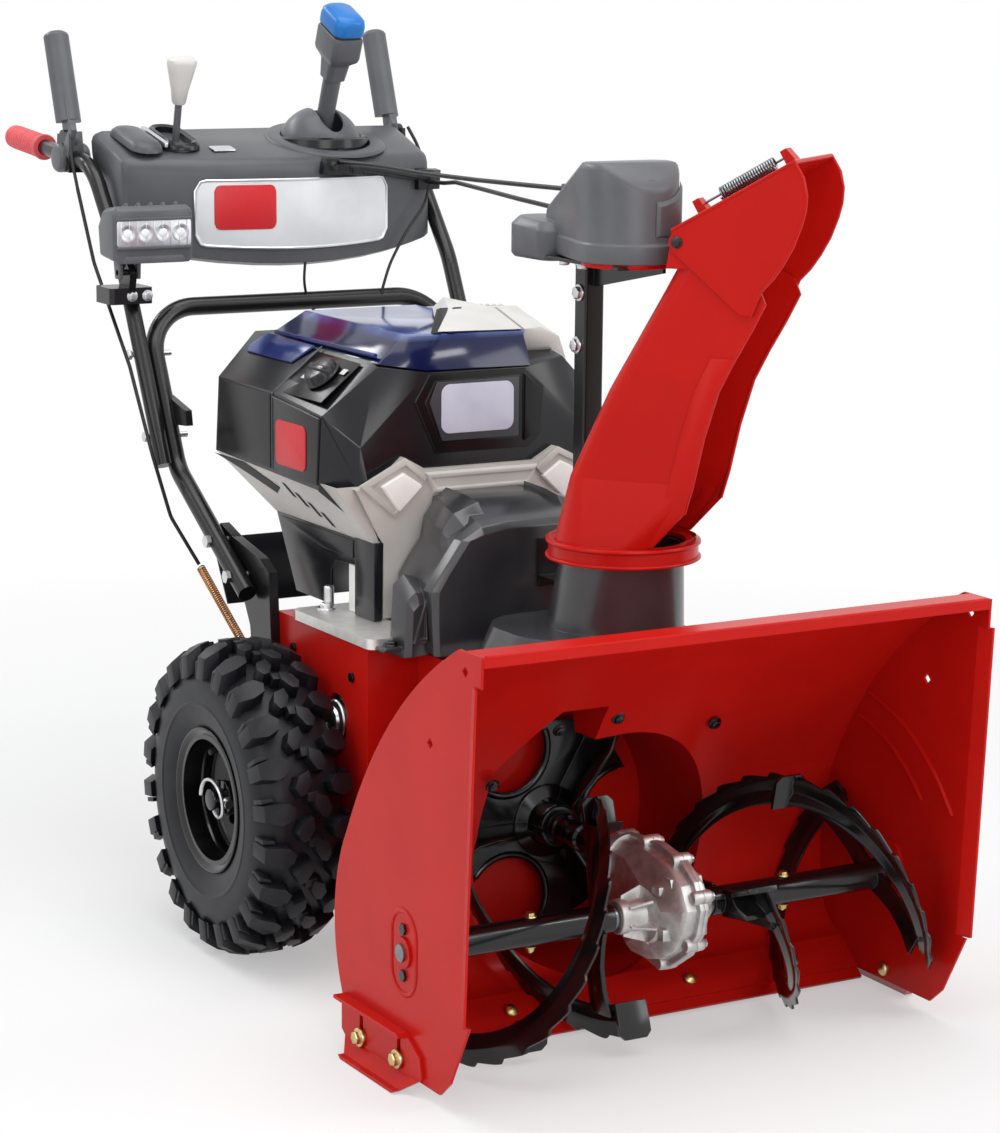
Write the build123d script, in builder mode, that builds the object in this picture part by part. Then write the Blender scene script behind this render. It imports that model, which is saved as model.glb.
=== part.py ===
from build123d import *
import os
from math import cos, hypot, pi, radians, sin

os.makedirs("parts", exist_ok=True)

# A two stage snowblower, in millimetres. X runs across the machine, the auger mouth faces -Y,
# the operator stands at +Y, and Z is up from the ground. The origin is under the middle of the
# whole machine. Left and right are as seen from the front of the mouth.

# ---- Driving dimensions ------------------------------------------------------------------

# Sheet metal, fits and clearances
sheet = 3.0
weld_gap = 0.1
running = 0.05
free_gap = 0.5

# Auger housing
side_x = 338.0
auger_y = -600.0
auger_z = 156.0
lip_y = -770.0
lip_z = 526.0
lip_height = 12.0
mouth_low_y = -749.0
mouth_low_z = 112.0
flare_depth = 18.0
flare_out = 7.0
flare_top_z = 491.0
plate_low_z = 16.0
scraper_reach = 55.0
scraper_thick = 4.0

# Impeller, its drum and its shaft
impeller_z = 200.0
drum_r = 152.0
drum_left_x = -168.0
duct_top_z = 398.0
drum_back_y = -312.0
impeller_r = 146.0
impeller_y = -328.0
shaft_r = 12.0

# Discharge neck and chute
chute_y = -507.0
neck_r = 71.0
neck_flange_r = 79.0
neck_top_z = 576.0
ring_r = 88.0
ring_height = 22.0
chute_turn = 37.0
chute_half = 65.0
deflector_gap = 1.2
hinge_u = 84.0
hinge_z = 936.0
hinge_r = 4.0

# Chute post and head cover
post_x = 24.0
post_y = -384.0
post_side = 26.0
post_top_z = 900.0
head_r = 57.0
head_low_z = 906.0
head_top_z = 1020.0

# Augers
shaft_tube_r = 17.0
auger_tip_r = 140.0
auger_band = 34.0
auger_thick = 5.0
case_half = 62.0

# Tractor frame and wheels
frame_x = 200.0
frame_front_y = -246.0
frame_back_y = 100.0
frame_low_z = 110.0
frame_top_z = 420.0
wheel_y = -62.0
tyre_r = 201.0
tyre_width = 122.0
wheel_x = 278.0
rim_r = 90.0
axle_r = 12.0

# Belt drive
belt_y = -286.0
belt_width = 12.0
belt_thick = 9.0
big_pulley_r = 90.0
small_pulley_r = 30.0
motor_z = 520.0
motor_r = 62.0

# Power head
base_thick = 13.0
power_x = 200.0
power_front_y = -158.0
power_back_y = 230.0
power_low_z = 603.0
shoulder_z = 700.0
roof_x = 130.0
roof_z = 757.0
chin_x = 150.0
chin_z = 530.0
cover_wall = 3.0
lid_top_z = 787.0

# Handles and console
u_tube_x = 226.0
u_tube_r = 12.5
tube_x = 250.0
tube_r = 11.0
grip_r = 16.5
grip_end_y = -lip_y
console_x = 235.0
console_low_z = 830.0
console_front_y = 348.0
console_back_y = 522.0

# Work light
lamp_left_x = -295.0
lamp_width = 115.0


# ---- Planes and small helpers ------------------------------------------------------------

def across(x):
    """Plane facing +X at x, with sketch coordinates (y, z)."""
    return Plane.YZ.offset(x)


def facing(y):
    """Plane facing -Y at y, with sketch coordinates (x, z)."""
    return Plane.XZ.offset(-y)


def level(z):
    """Horizontal plane at z."""
    return Plane.XY.offset(z)


def save(builder, name):
    builder.part.label = name
    export_step(builder.part, f"parts/{name}.step")


def rod(start, end, radius):
    """Round bar between two points."""
    axis = Vector(*end) - Vector(*start)
    with BuildPart() as bar:
        with BuildSketch(Plane(origin=start, z_dir=axis)):
            Circle(radius)
        extrude(amount=axis.length)
    return bar.part


def tube_path(points, radii, radius):
    """Tube along straight runs joined by tangent arcs."""
    with BuildPart() as tube:
        with BuildLine() as path:
            FilletPolyline(*points, radius=radii)
        with BuildSketch(Plane(origin=path.line @ 0, z_dir=path.line % 0)):
            Circle(radius)
        sweep(path=path.line)
    return tube.part


def spring_body(start, end, coil_r, wire_r, hook):
    """Closely wound spring as a round bar, with a straight wire hook at each end."""
    direction = (Vector(*end) - Vector(*start)).normalized()
    first = Vector(*start) + direction * hook
    last = Vector(*end) - direction * hook
    with BuildPart() as spring:
        add(rod(tuple(first), tuple(last), coil_r))
        add(rod(start, end, wire_r))
    return spring.part


def both_sides(part):
    """The part and its mirror image across the middle plane."""
    with BuildPart() as pair:
        add(part)
        mirror(part, about=Plane.YZ)
    return pair.part


# ---- Auger housing -----------------------------------------------------------------------

inner_x = side_x - sheet


def back_wall_outline(depth):
    """Closed (y, z) outline of the back wall's sheet: lip, roof, drum curve and floor."""
    with BuildSketch() as outline:
        with BuildLine():
            front = Line((lip_y + sheet, lip_z - lip_height), (lip_y + sheet, lip_z - sheet))
            roof = Line(front @ 1, (lip_y + 38, lip_z - sheet))
            upper = ThreePointArc(roof @ 1, (-590, 426), (-476, 268))
            lower = ThreePointArc(upper @ 1, (-454, 180), (-462, 90))
            heel = ThreePointArc(lower @ 1, (-475, 66), (-503, 49))
            Line(heel @ 1, (-540, 19))
            offset(amount=depth, side=Side.LEFT, closed=True)
        make_face()
    return outline.sketch


def inside_outline(margin):
    """(y, z) region in front of the back wall's rear face, grown by the margin."""
    with BuildSketch() as region:
        with BuildLine():
            upper = ThreePointArc((lip_y + 38, lip_z - sheet), (-590, 426), (-476, 268))
            lower = ThreePointArc(upper @ 1, (-454, 180), (-462, 90))
            heel = ThreePointArc(lower @ 1, (-475, 66), (-503, 49))
            end = Line(heel @ 1, (-540, 19))
            Polyline(end @ 1, (lip_y - 60, 19), (lip_y - 60, lip_z - sheet), upper @ 0)
        make_face()
        offset(amount=sheet + margin)
    return region.sketch


def drum_outline(grow):
    """(x, z) outline of the impeller drum with its wider, rising left side."""
    with BuildSketch() as outline:
        with BuildLine():
            right = ThreePointArc(
                (0, impeller_z - drum_r), (drum_r, impeller_z), (-20, impeller_z + drum_r - 1.3)
            )
            duct = Polyline(
                right @ 1,
                (-44, impeller_z + drum_r - 3),
                (-50, duct_top_z),
                (-112, duct_top_z),
                (drum_left_x, 322),
                (drum_left_x, 230),
            )
            ThreePointArc(duct @ 1, (-122, 92), right @ 0)
        make_face()
        if grow:
            offset(amount=grow)
    return outline.sketch


def housing_wrapper():
    with BuildPart() as wrapper:
        extrude(across(-inner_x) * back_wall_outline(sheet), amount=2 * inner_x)
        extrude(facing(-420) * drum_outline(0), amount=200, mode=Mode.SUBTRACT)
    return scraper_holes(wrapper.part)


bearing_bolt_pitch = 54.0
drift_hole_places = ((-735, 504), (-658, 409))
skid_bolt_places = ((-505, 28), (-596, 31))
skid_bolt_r = 4.0


def side_plate():
    """Left side plate: flat sheet with an arched back edge and a front edge flared outward."""
    fold = flare_depth
    lean = (mouth_low_y - lip_y) / (lip_z - mouth_low_z)
    top_front_y = lip_y + (lip_z - flare_top_z) * lean
    with BuildPart() as plate:
        with BuildSketch(across(-side_x)):
            with BuildLine():
                back = ThreePointArc((lip_y + 49, lip_z), (-580, 426), (-461, 264))
                heel = ThreePointArc(back @ 1, (-430.5, 177), (-448, 66))
                Polyline(
                    heel @ 1,
                    (-454, 44),
                    (-484, plate_low_z),
                    (-685, plate_low_z),
                    (-708, 36),
                    (mouth_low_y, mouth_low_z),
                    (mouth_low_y + fold, mouth_low_z),
                    (top_front_y + fold, flare_top_z),
                    (top_front_y, flare_top_z),
                    (lip_y, lip_z),
                    back @ 0,
                )
            make_face()
            with Locations(*drift_hole_places):
                Rectangle(9, 9, rotation=45, mode=Mode.SUBTRACT)
            with Locations(*skid_bolt_places):
                Circle(skid_bolt_r + running, mode=Mode.SUBTRACT)
            with Locations((auger_y, auger_z)):
                Circle(shaft_tube_r + 1, mode=Mode.SUBTRACT)
                with Locations((0, bearing_bolt_pitch / 2), (0, -bearing_bolt_pitch / 2)):
                    Circle(4 + running, mode=Mode.SUBTRACT)
        extrude(amount=sheet)
        with BuildSketch(level(mouth_low_z)):
            Polygon(
                (-side_x, mouth_low_y + fold),
                (-side_x - flare_out, mouth_low_y),
                (-side_x - flare_out + sheet, mouth_low_y),
                (-side_x + sheet, mouth_low_y + fold),
                align=None,
            )
        rise = flare_top_z - mouth_low_z
        extrude(amount=hypot(rise, rise * lean), dir=(0, -lean, 1))
    return plate


def drum_shell():
    with BuildPart() as drum:
        extrude(facing(drum_back_y) * drum_outline(sheet), amount=260)
        extrude(facing(drum_back_y - sheet) * drum_outline(0), amount=260, mode=Mode.SUBTRACT)
        with BuildSketch(facing(drum_back_y)):
            with Locations((0, impeller_z)):
                Circle(shaft_r + running)
        extrude(amount=sheet, mode=Mode.SUBTRACT)
        with BuildSketch(facing(drum_back_y - sheet - 12)):
            with Locations(((drum_left_x + 90) / 2, duct_top_z - 20)):
                Rectangle(230, 62)
        extrude(amount=150, mode=Mode.SUBTRACT)
        extrude(across(-inner_x) * inside_outline(weld_gap), amount=2 * inner_x, mode=Mode.SUBTRACT)
    return drum


def discharge_neck():
    """Moulded duct that gathers the drum's wide mouth into the round chute seat."""
    wall = 3.0
    with BuildPart() as neck:
        for inset, mode in ((0.0, Mode.ADD), (wall, Mode.SUBTRACT)):
            with BuildSketch(level(300 - inset)):
                with Locations((-34, -431)):
                    RectangleRounded(272 - 2 * inset, 188 - 2 * inset, 20)
            with BuildSketch(level(478 - inset)):
                with Locations((-28, -476)):
                    RectangleRounded(222 - 2 * inset, 172 - 2 * inset, 70)
            loft(mode=mode)
        for inset, mode in ((0.0, Mode.ADD), (wall, Mode.SUBTRACT)):
            with BuildSketch(level(470)):
                with Locations((0, chute_y + 16)):
                    Circle(neck_r + 11 - inset)
            with BuildSketch(level(neck_top_z)):
                with Locations((0, chute_y)):
                    Circle(neck_r - inset)
            loft(mode=mode)
        with BuildSketch(level(neck_top_z - 5)):
            with Locations((0, chute_y)):
                Circle(neck_flange_r)
                Circle(neck_r - wall, mode=Mode.SUBTRACT)
        extrude(amount=5)
        extrude(
            facing(drum_back_y + 10) * drum_outline(sheet + weld_gap), amount=300, mode=Mode.SUBTRACT
        )
        extrude(
            across(-inner_x) * inside_outline(2 * weld_gap), amount=2 * inner_x, mode=Mode.SUBTRACT
        )
    return neck


scraper_bolt_x = (-280, -155, -31, 95, 247)


def scraper_blade():
    """Wear strip bolted under the housing floor."""
    slope = Vector(-37, -30).normalized()
    normal = Vector(-slope.Y, slope.X)
    start = Vector(-503, 49) + slope * 7 + normal * (sheet + weld_gap)
    end = start + slope * scraper_reach
    low = normal * scraper_thick
    with BuildPart() as blade:
        with BuildSketch(across(-inner_x)):
            Polygon(
                (start.X, start.Y), (end.X, end.Y), (end.X + low.X, end.Y + low.Y),
                (start.X + low.X, start.Y + low.Y), align=None,
            )
        extrude(amount=2 * inner_x)
    return blade


shoe_top_z = 66.0
shoe_slot_z = 42.0


def skid_shoe():
    """Left skid shoe: reversible channel with two upright slots."""
    thick = 4.0
    with BuildPart() as shoe:
        with BuildSketch(facing(-650)):
            Polygon(
                (-side_x, shoe_top_z), (-side_x - 15, shoe_top_z), (-side_x - 15, shoe_top_z - thick),
                (-side_x - thick, shoe_top_z - thick), (-side_x - thick, 18), (-side_x - 16, thick),
                (-side_x - 24, thick), (-side_x - 24, 0), (-side_x - 14, 0), (-side_x, 16), align=None,
            )
        extrude(amount=-200)
        with BuildSketch(across(-side_x - 30)):
            Polygon(
                (-650, 24), (-615, 0), (-490, 0), (-455, 24), (-455, shoe_top_z),
                (-610, shoe_top_z), (-645, 46), align=None,
            )
        extrude(amount=40, mode=Mode.INTERSECT)
        with BuildSketch(across(-side_x - 30)):
            for y, z in skid_bolt_places:
                with Locations((y, shoe_slot_z)):
                    SlotOverall(40, 2 * skid_bolt_r + 0.8, rotation=90)
        extrude(amount=40, mode=Mode.SUBTRACT)
    return shoe


def carriage_bolt(plane, grip, nut_gap=0.0):
    """Round head on the plane, square-necked shank and a washered nut at the far side."""
    with BuildPart() as bolt:
        with BuildSketch(plane):
            Circle(6.5)
        extrude(amount=3)
        with BuildSketch(plane):
            Circle(skid_bolt_r)
        extrude(amount=-(grip + 10))
        with BuildSketch(plane.offset(-grip - nut_gap)):
            Circle(9.5)
        extrude(amount=-2)
        with BuildSketch(plane.offset(-grip - 2 - nut_gap)):
            RegularPolygon(7.5, 6)
        extrude(amount=-6)
    return bolt.part


def scraper_plane(x):
    """Plane on the housing floor's inner face at a scraper bolt, facing up and inward."""
    slope = Vector(0, -37, -30).normalized()
    normal = Vector(0, slope.Z, -slope.Y)
    if normal.Z < 0:
        normal = normal * -1
    point = Vector(x, -503, 49) + slope * 26
    return Plane(origin=point, x_dir=(1, 0, 0), z_dir=normal)


def housing_bolts():
    """Zinc-plated carriage bolts of the skid shoes and the scraper blade."""
    with BuildPart() as bolts:
        for y, z in skid_bolt_places:
            for side in (-1, 1):
                place = Plane(origin=(side * inner_x, y, z), x_dir=(0, 1, 0), z_dir=(-side, 0, 0))
                add(carriage_bolt(place, sheet + 4.0))
        for x in scraper_bolt_x:
            add(carriage_bolt(scraper_plane(x), sheet + weld_gap + scraper_thick))
    return bolts


def scraper_holes(parent_part):
    """The part with the scraper bolts' holes drilled through it."""
    with BuildPart() as drilled:
        add(parent_part)
        for x in scraper_bolt_x:
            with BuildSketch(scraper_plane(x)):
                Circle(skid_bolt_r + running)
            extrude(amount=30, both=True, mode=Mode.SUBTRACT)
    return drilled


def auger_bearing():
    """Left flanged bearing: an oval plate inside the housing with a bush through the wall."""
    with BuildPart() as bearing:
        with BuildSketch(across(-inner_x)):
            with Locations((auger_y, auger_z)):
                SlotOverall(bearing_bolt_pitch + 28, 44, rotation=90)
                Circle(auger_shaft_r + running, mode=Mode.SUBTRACT)
                with Locations((0, bearing_bolt_pitch / 2), (0, -bearing_bolt_pitch / 2)):
                    Circle(4 + running, mode=Mode.SUBTRACT)
        extrude(amount=4)
        with BuildSketch(across(-side_x - 3)):
            with Locations((auger_y, auger_z)):
                Circle(shaft_tube_r + 1 - running)
                Circle(auger_shaft_r + running, mode=Mode.SUBTRACT)
        extrude(amount=sheet + 3)
    return bearing.part


def hex_bolt(plane, length, radius=4.0, head=3.2):
    """Domed hexagon bolt: head above the plane and shank below it."""
    with BuildPart() as bolt:
        with BuildSketch(plane):
            RegularPolygon(radius * 1.75, 6)
        extrude(amount=head)
        with BuildSketch(plane):
            Circle(radius)
        extrude(amount=-length)
    return bolt.part


frame_bolt_places = ((-205, 375), (-43, 381))


def black_bolts():
    """Black screws of the auger bearings and the base plate's brackets."""
    with BuildPart() as bolts:
        for side in (-1, 1):
            for dz in (bearing_bolt_pitch / 2, -bearing_bolt_pitch / 2):
                place = Plane(
                    origin=(side * side_x, auger_y, auger_z + dz), x_dir=(0, 1, 0), z_dir=(side, 0, 0)
                )
                add(hex_bolt(place, sheet + 8))
            for y, z in frame_bolt_places:
                place = Plane(origin=(side * frame_x, y, z), x_dir=(0, 1, 0), z_dir=(side, 0, 0))
                add(hex_bolt(place, sheet + 6))
    return bolts


# ---- Augers and gear case ----------------------------------------------------------------

auger_shaft_r = 10.0
auger_inner_x = 68.0
auger_outer_x = 328.0
worm_r = 11.0
wheel_tip_r = impeller_z - auger_z - worm_r - free_gap
case_split_x = 8.0
worm_end_y = -645.0


def gear_case_form():
    """Cast case: wheel chamber, worm chamber, shaft hubs and the bolted split flange."""
    with BuildPart() as case:
        with BuildSketch(across(-26)):
            with Locations((auger_y, auger_z)):
                Circle(56)
        extrude(amount=56)
        with BuildSketch(facing(-660)):
            with Locations((0, impeller_z + 6)):
                Circle(38)
        extrude(amount=-110)
        with BuildSketch(facing(-552)):
            with Locations((0, impeller_z)):
                Circle(25)
        extrude(amount=-24)
        with BuildSketch(across(-case_half)):
            with Locations((auger_y, auger_z)):
                Circle(21)
        extrude(amount=2 * case_half)
        flange_z = (auger_z + impeller_z) / 2 - 8
        with BuildSketch(across(case_split_x - 6)):
            with Locations((auger_y, flange_z)):
                Ellipse(56, 74)
                for turn in range(8):
                    angle = 2 * pi * (turn + 0.5) / 8
                    with Locations((58 * cos(angle), 72 * sin(angle))):
                        Circle(8)
        extrude(amount=12)
        with BuildSketch(across(-16)):
            with Locations((auger_y, auger_z)):
                Circle(wheel_tip_r + 5)
        extrude(amount=32, mode=Mode.SUBTRACT)
        with BuildSketch(facing(worm_end_y - 1)):
            with Locations((0, impeller_z)):
                Circle(worm_r + 5)
        extrude(amount=-88, mode=Mode.SUBTRACT)
        with BuildSketch(facing(worm_end_y)):
            with Locations((0, impeller_z)):
                Circle(shaft_r + running)
        extrude(amount=-200, mode=Mode.SUBTRACT)
        with BuildSketch(across(-case_half - 1)):
            with Locations((auger_y, auger_z)):
                Circle(auger_shaft_r + running)
        extrude(amount=2 * case_half + 2, mode=Mode.SUBTRACT)
    return case.part


def case_half_part(keep):
    with BuildPart() as half:
        add(gear_case_form())
        split(bisect_by=across(case_split_x), keep=keep)
    return half


def auger_shaft():
    """Solid cross shaft with the worm wheel at its middle."""
    with BuildPart() as shaft:
        with BuildSketch(across(-side_x - 6)):
            with Locations((auger_y, auger_z)):
                Circle(auger_shaft_r)
        extrude(amount=2 * (side_x + 6))
        with BuildSketch(across(-12)):
            with Locations((auger_y, auger_z)):
                Circle(wheel_tip_r)
        extrude(amount=24)
        with BuildSketch(level(auger_z - 20)):
            with Locations((-shear_bolt_x, auger_y), (shear_bolt_x, auger_y)):
                Circle(shear_bolt_r + running)
        extrude(amount=40, mode=Mode.SUBTRACT)
    return shaft


def ribbon(x_start, turn_start, x_end, turn_end):
    """Open spiral band about the auger axis; turns are degrees from the back, over the top."""
    middle_r = auger_tip_r - auger_band / 2
    turn = turn_end - turn_start
    pitch = abs(x_end - x_start) * 360 / turn
    outward = 1 if x_end > x_start else -1
    with BuildPart() as band:
        with BuildLine() as path:
            Helix(pitch, abs(x_end - x_start), middle_r, lefthand=(outward < 0))
        with BuildSketch(Plane(origin=path.line @ 0, x_dir=(1, 0, 0), z_dir=path.line % 0)):
            Rectangle(auger_band, auger_thick)
        sweep(path=path.line, is_frenet=True)
    axis = Plane(origin=(x_start, auger_y, auger_z), x_dir=(0, 1, 0), z_dir=(outward, 0, 0))
    return axis * (Rot(0, 0, outward * turn_start) * band.part)


def spoke(x, turn, reach):
    """Flat arm from the auger tube out to the middle of a ribbon."""
    axis = Plane(origin=(x, auger_y, auger_z), x_dir=(0, 1, 0), z_dir=(1, 0, 0))
    with BuildPart() as arm:
        with BuildSketch():
            with Locations((shaft_tube_r + (reach - shaft_tube_r) / 2 - 2, 0)):
                Rectangle(reach - shaft_tube_r + 4, 22)
        extrude(amount=2.5, both=True)
    return axis * (Rot(0, 0, turn) * arm.part)


paddle_half = 20.0


def paddle(x, turn):
    """Bent flap at the inner end of a ribbon, facing the impeller."""
    axis = Plane(origin=(x, auger_y, auger_z), x_dir=(0, 1, 0), z_dir=(1, 0, 0))
    with BuildPart() as flap:
        with BuildSketch():
            with Locations((auger_tip_r - 20, 0)):
                Rectangle(36, 6)
        extrude(amount=paddle_half, both=True)
    return axis * (Rot(0, 0, turn) * flap.part)


ribbon_start_x = 60.0
ribbon_end_x = 322.0
ribbon_sweep = 246.0
left_auger_phase = 69.0
right_auger_phase = 157.5
spoke_places = (88.0, 306.0)


def auger(side, first_turn):
    """One auger: a tube on the cross shaft carrying two serrated ribbons."""
    rise = ribbon_sweep / (ribbon_end_x - ribbon_start_x)
    with BuildPart() as screw:
        with BuildSketch(across(side * auger_inner_x)):
            with Locations((auger_y, auger_z)):
                Circle(shaft_tube_r)
                Circle(auger_shaft_r + running, mode=Mode.SUBTRACT)
        extrude(amount=side * (auger_outer_x - auger_inner_x))
        for start in (first_turn, first_turn + 180):
            add(ribbon(side * ribbon_start_x, start, side * ribbon_end_x, start + ribbon_sweep))
            for x in spoke_places:
                turn = start + (x - ribbon_start_x) * rise
                add(spoke(side * x, turn, auger_tip_r - auger_band / 2))
            add(paddle(side * (ribbon_start_x + paddle_half), start + 6))
        with BuildSketch(level(auger_z - 20)):
            with Locations((side * shear_bolt_x, auger_y)):
                Circle(shear_bolt_r + running)
        extrude(amount=40, mode=Mode.SUBTRACT)
    return screw


shear_bolt_x = 175.0
shear_bolt_r = 3.0


def shear_bolts():
    """Zinc-plated shear bolts, each through an auger tube and the cross shaft."""
    with BuildPart() as bolts:
        for side in (-1, 1):
            top = Plane(origin=(side * shear_bolt_x, auger_y, auger_z + shaft_tube_r + 0.1))
            add(hex_bolt(top, 2 * shaft_tube_r + 8, shear_bolt_r, 5))
            with BuildSketch(level(auger_z - shaft_tube_r - 6)):
                with Locations((side * shear_bolt_x, auger_y)):
                    RegularPolygon(shear_bolt_r * 1.75, 6)
            extrude(amount=5.5)
    return bolts


# ---- Impeller and its drive --------------------------------------------------------------

def impeller():
    """Four-blade impeller: hub, scalloped back plate and blades with hooked tips."""
    with BuildPart() as wheel:
        with BuildSketch(facing(impeller_y + 8)):
            with Locations((0, impeller_z)):
                Circle(30)
        extrude(amount=22)
        with BuildSketch(facing(impeller_y + 6)):
            with Locations((0, impeller_z)):
                Circle(118)
                with PolarLocations(118, 4, start_angle=45):
                    Circle(46, mode=Mode.SUBTRACT)
        extrude(amount=4)
        for quarter in range(4):
            with BuildSketch(facing(impeller_y + 6)):
                with Locations((0, impeller_z)):
                    with Locations(Rot(0, 0, 90 * quarter)):
                        with Locations((impeller_r / 2 + 6, 0)):
                            Rectangle(impeller_r - 18, 4)
                        with Locations((impeller_r - 9, -8)):
                            Rectangle(4, 18, rotation=-20)
            extrude(amount=78)
        with BuildSketch(facing(impeller_y + 20)):
            with Locations((0, impeller_z)):
                Circle(shaft_r)
        extrude(amount=60, mode=Mode.SUBTRACT)
    return wheel


def impeller_shaft():
    with BuildPart() as shaft:
        with BuildSketch(facing(-266)):
            with Locations((0, impeller_z)):
                Circle(shaft_r)
        extrude(amount=294)
        with BuildSketch(facing(-560)):
            with Locations((0, impeller_z)):
                Circle(worm_r)
        extrude(amount=84)
    return shaft


def pulley(radius, z, bore):
    with BuildPart() as wheel:
        with BuildSketch(facing(belt_y + belt_width / 2)):
            with Locations((0, z)):
                Circle(radius)
                Circle(bore, mode=Mode.SUBTRACT)
        extrude(amount=belt_width)
    return wheel


def impeller_pulley():
    with BuildPart() as wheel:
        add(pulley(big_pulley_r, impeller_z, shaft_r).part)
        with BuildSketch(facing(belt_y + belt_width / 2 + 1)):
            with Locations((0, impeller_z)):
                with PolarLocations(54, 5):
                    Circle(18)
        extrude(amount=belt_width + 2, mode=Mode.SUBTRACT)
    return wheel


motor_shaft_r = 8.0


def motor_pulley():
    """Motor's output shaft with the small pulley on its end."""
    with BuildPart() as wheel:
        add(pulley(small_pulley_r, motor_z, 1.0).part)
        with BuildSketch(facing(power_front_y + 30)):
            with Locations((0, motor_z)):
                Circle(motor_shaft_r)
        extrude(amount=power_front_y + 30 - belt_y + belt_width / 2)
    return wheel


def drive_belt():
    """Flat belt loop round both pulleys."""
    gap = 0.3
    with BuildPart() as belt:
        with BuildSketch(facing(belt_y + belt_width / 2)):
            for grow, mode in ((belt_thick + gap, Mode.ADD), (gap, Mode.SUBTRACT)):
                with Locations((0, impeller_z)):
                    Circle(big_pulley_r + grow, mode=mode)
                with Locations((0, motor_z)):
                    Circle(small_pulley_r + grow, mode=mode)
                span = motor_z - impeller_z
                lean = (big_pulley_r - small_pulley_r) / span
                level_part = (1 - lean * lean) ** 0.5
                big = big_pulley_r + grow
                small = small_pulley_r + grow
                Polygon(
                    (-big * level_part, impeller_z + big * lean),
                    (-small * level_part, motor_z + small * lean),
                    (small * level_part, motor_z + small * lean),
                    (big * level_part, impeller_z + big * lean),
                    align=None,
                    mode=mode,
                )
        extrude(amount=belt_width)
    return belt


def motor():
    with BuildPart() as body:
        with BuildSketch(facing(0)):
            with Locations((0, motor_z)):
                Circle(motor_r)
        extrude(amount=-power_front_y - 6)
        with BuildSketch(level(frame_top_z + base_thick)):
            with Locations((0, power_front_y / 2)):
                Rectangle(90, 120)
        extrude(amount=motor_z - motor_r - frame_top_z - base_thick + 20)
        with BuildSketch(facing(power_front_y + 31)):
            with Locations((0, motor_z)):
                Circle(motor_shaft_r + running)
        extrude(amount=40, mode=Mode.SUBTRACT)
    return body


# ---- Tractor frame and wheels ------------------------------------------------------------

drive_hole_y = -164.0
drive_hole_z = 313.0
tunnel_x = 130.0
tunnel_low_z = 95.0


def tractor_frame():
    """Folded sheet box of the tractor with the belt tunnel in front of it."""
    with BuildPart() as box:
        for side in (-1, 1):
            with BuildSketch(across(side * frame_x)):
                Polygon(
                    (frame_front_y, frame_low_z), (frame_front_y, frame_top_z), (5, frame_top_z),
                    (frame_back_y, 362), (frame_back_y, 120), (60, frame_low_z), align=None,
                )
                with Locations((wheel_y, tyre_r)):
                    Circle(20, mode=Mode.SUBTRACT)
                with Locations((drive_hole_y, drive_hole_z)):
                    SlotOverall(66, 50, rotation=90, mode=Mode.SUBTRACT)
                with Locations(*frame_bolt_places):
                    Circle(4 + running, mode=Mode.SUBTRACT)
            extrude(amount=-side * sheet)
        with BuildSketch(facing(frame_front_y + sheet)):
            with Locations((0, (frame_low_z + frame_top_z) / 2)):
                Rectangle(2 * frame_x, frame_top_z - frame_low_z)
                Rectangle(120, 180, mode=Mode.SUBTRACT)
        extrude(amount=sheet)
        with BuildSketch(facing(frame_back_y)):
            with Locations((0, 225)):
                Rectangle(2 * frame_x, 210)
        extrude(amount=sheet)
        with BuildSketch(level(frame_top_z - sheet)):
            with Locations((0, (frame_front_y + 5) / 2)):
                Rectangle(2 * frame_x, 5 - frame_front_y)
                Rectangle(2 * frame_x - 60, 5 - frame_front_y - 60, mode=Mode.SUBTRACT)
        extrude(amount=sheet)
        tunnel_depth = frame_front_y - drum_back_y - weld_gap
        with BuildSketch(facing(frame_front_y)):
            with Locations((0, (tunnel_low_z + 410) / 2)):
                Rectangle(2 * tunnel_x, 410 - tunnel_low_z)
            with Locations((0, (tunnel_low_z + 410) / 2 + 2 * sheet)):
                Rectangle(2 * tunnel_x - 2 * sheet, 410 - tunnel_low_z + 2 * sheet, mode=Mode.SUBTRACT)
        extrude(amount=tunnel_depth)
        with BuildSketch(facing(frame_front_y)):
            with Locations((0, frame_low_z - 5)):
                Rectangle(2 * tunnel_x, 20)
        extrude(amount=-sheet)
    return box


def axle_bearings():
    """Flanged bearings of the wheel axles and of the cross drive above them."""
    with BuildPart() as bearings:
        for side in (-1, 1):
            with BuildSketch(across(side * frame_x)):
                with Locations((wheel_y, tyre_r)):
                    Circle(32)
                    Circle(axle_r + running, mode=Mode.SUBTRACT)
            extrude(amount=side * 7)
            with BuildSketch(across(side * (frame_x - sheet))):
                with Locations((drive_hole_y, drive_hole_z)):
                    SlotOverall(84, 60, rotation=90)
                    Circle(13, mode=Mode.SUBTRACT)
            extrude(amount=-side * 4)
            with BuildSketch(across(side * (frame_x - sheet - 18))):
                with Locations((drive_hole_y, drive_hole_z)):
                    Circle(19)
                    Circle(13, mode=Mode.SUBTRACT)
            extrude(amount=side * 21)
    return bearings


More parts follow.
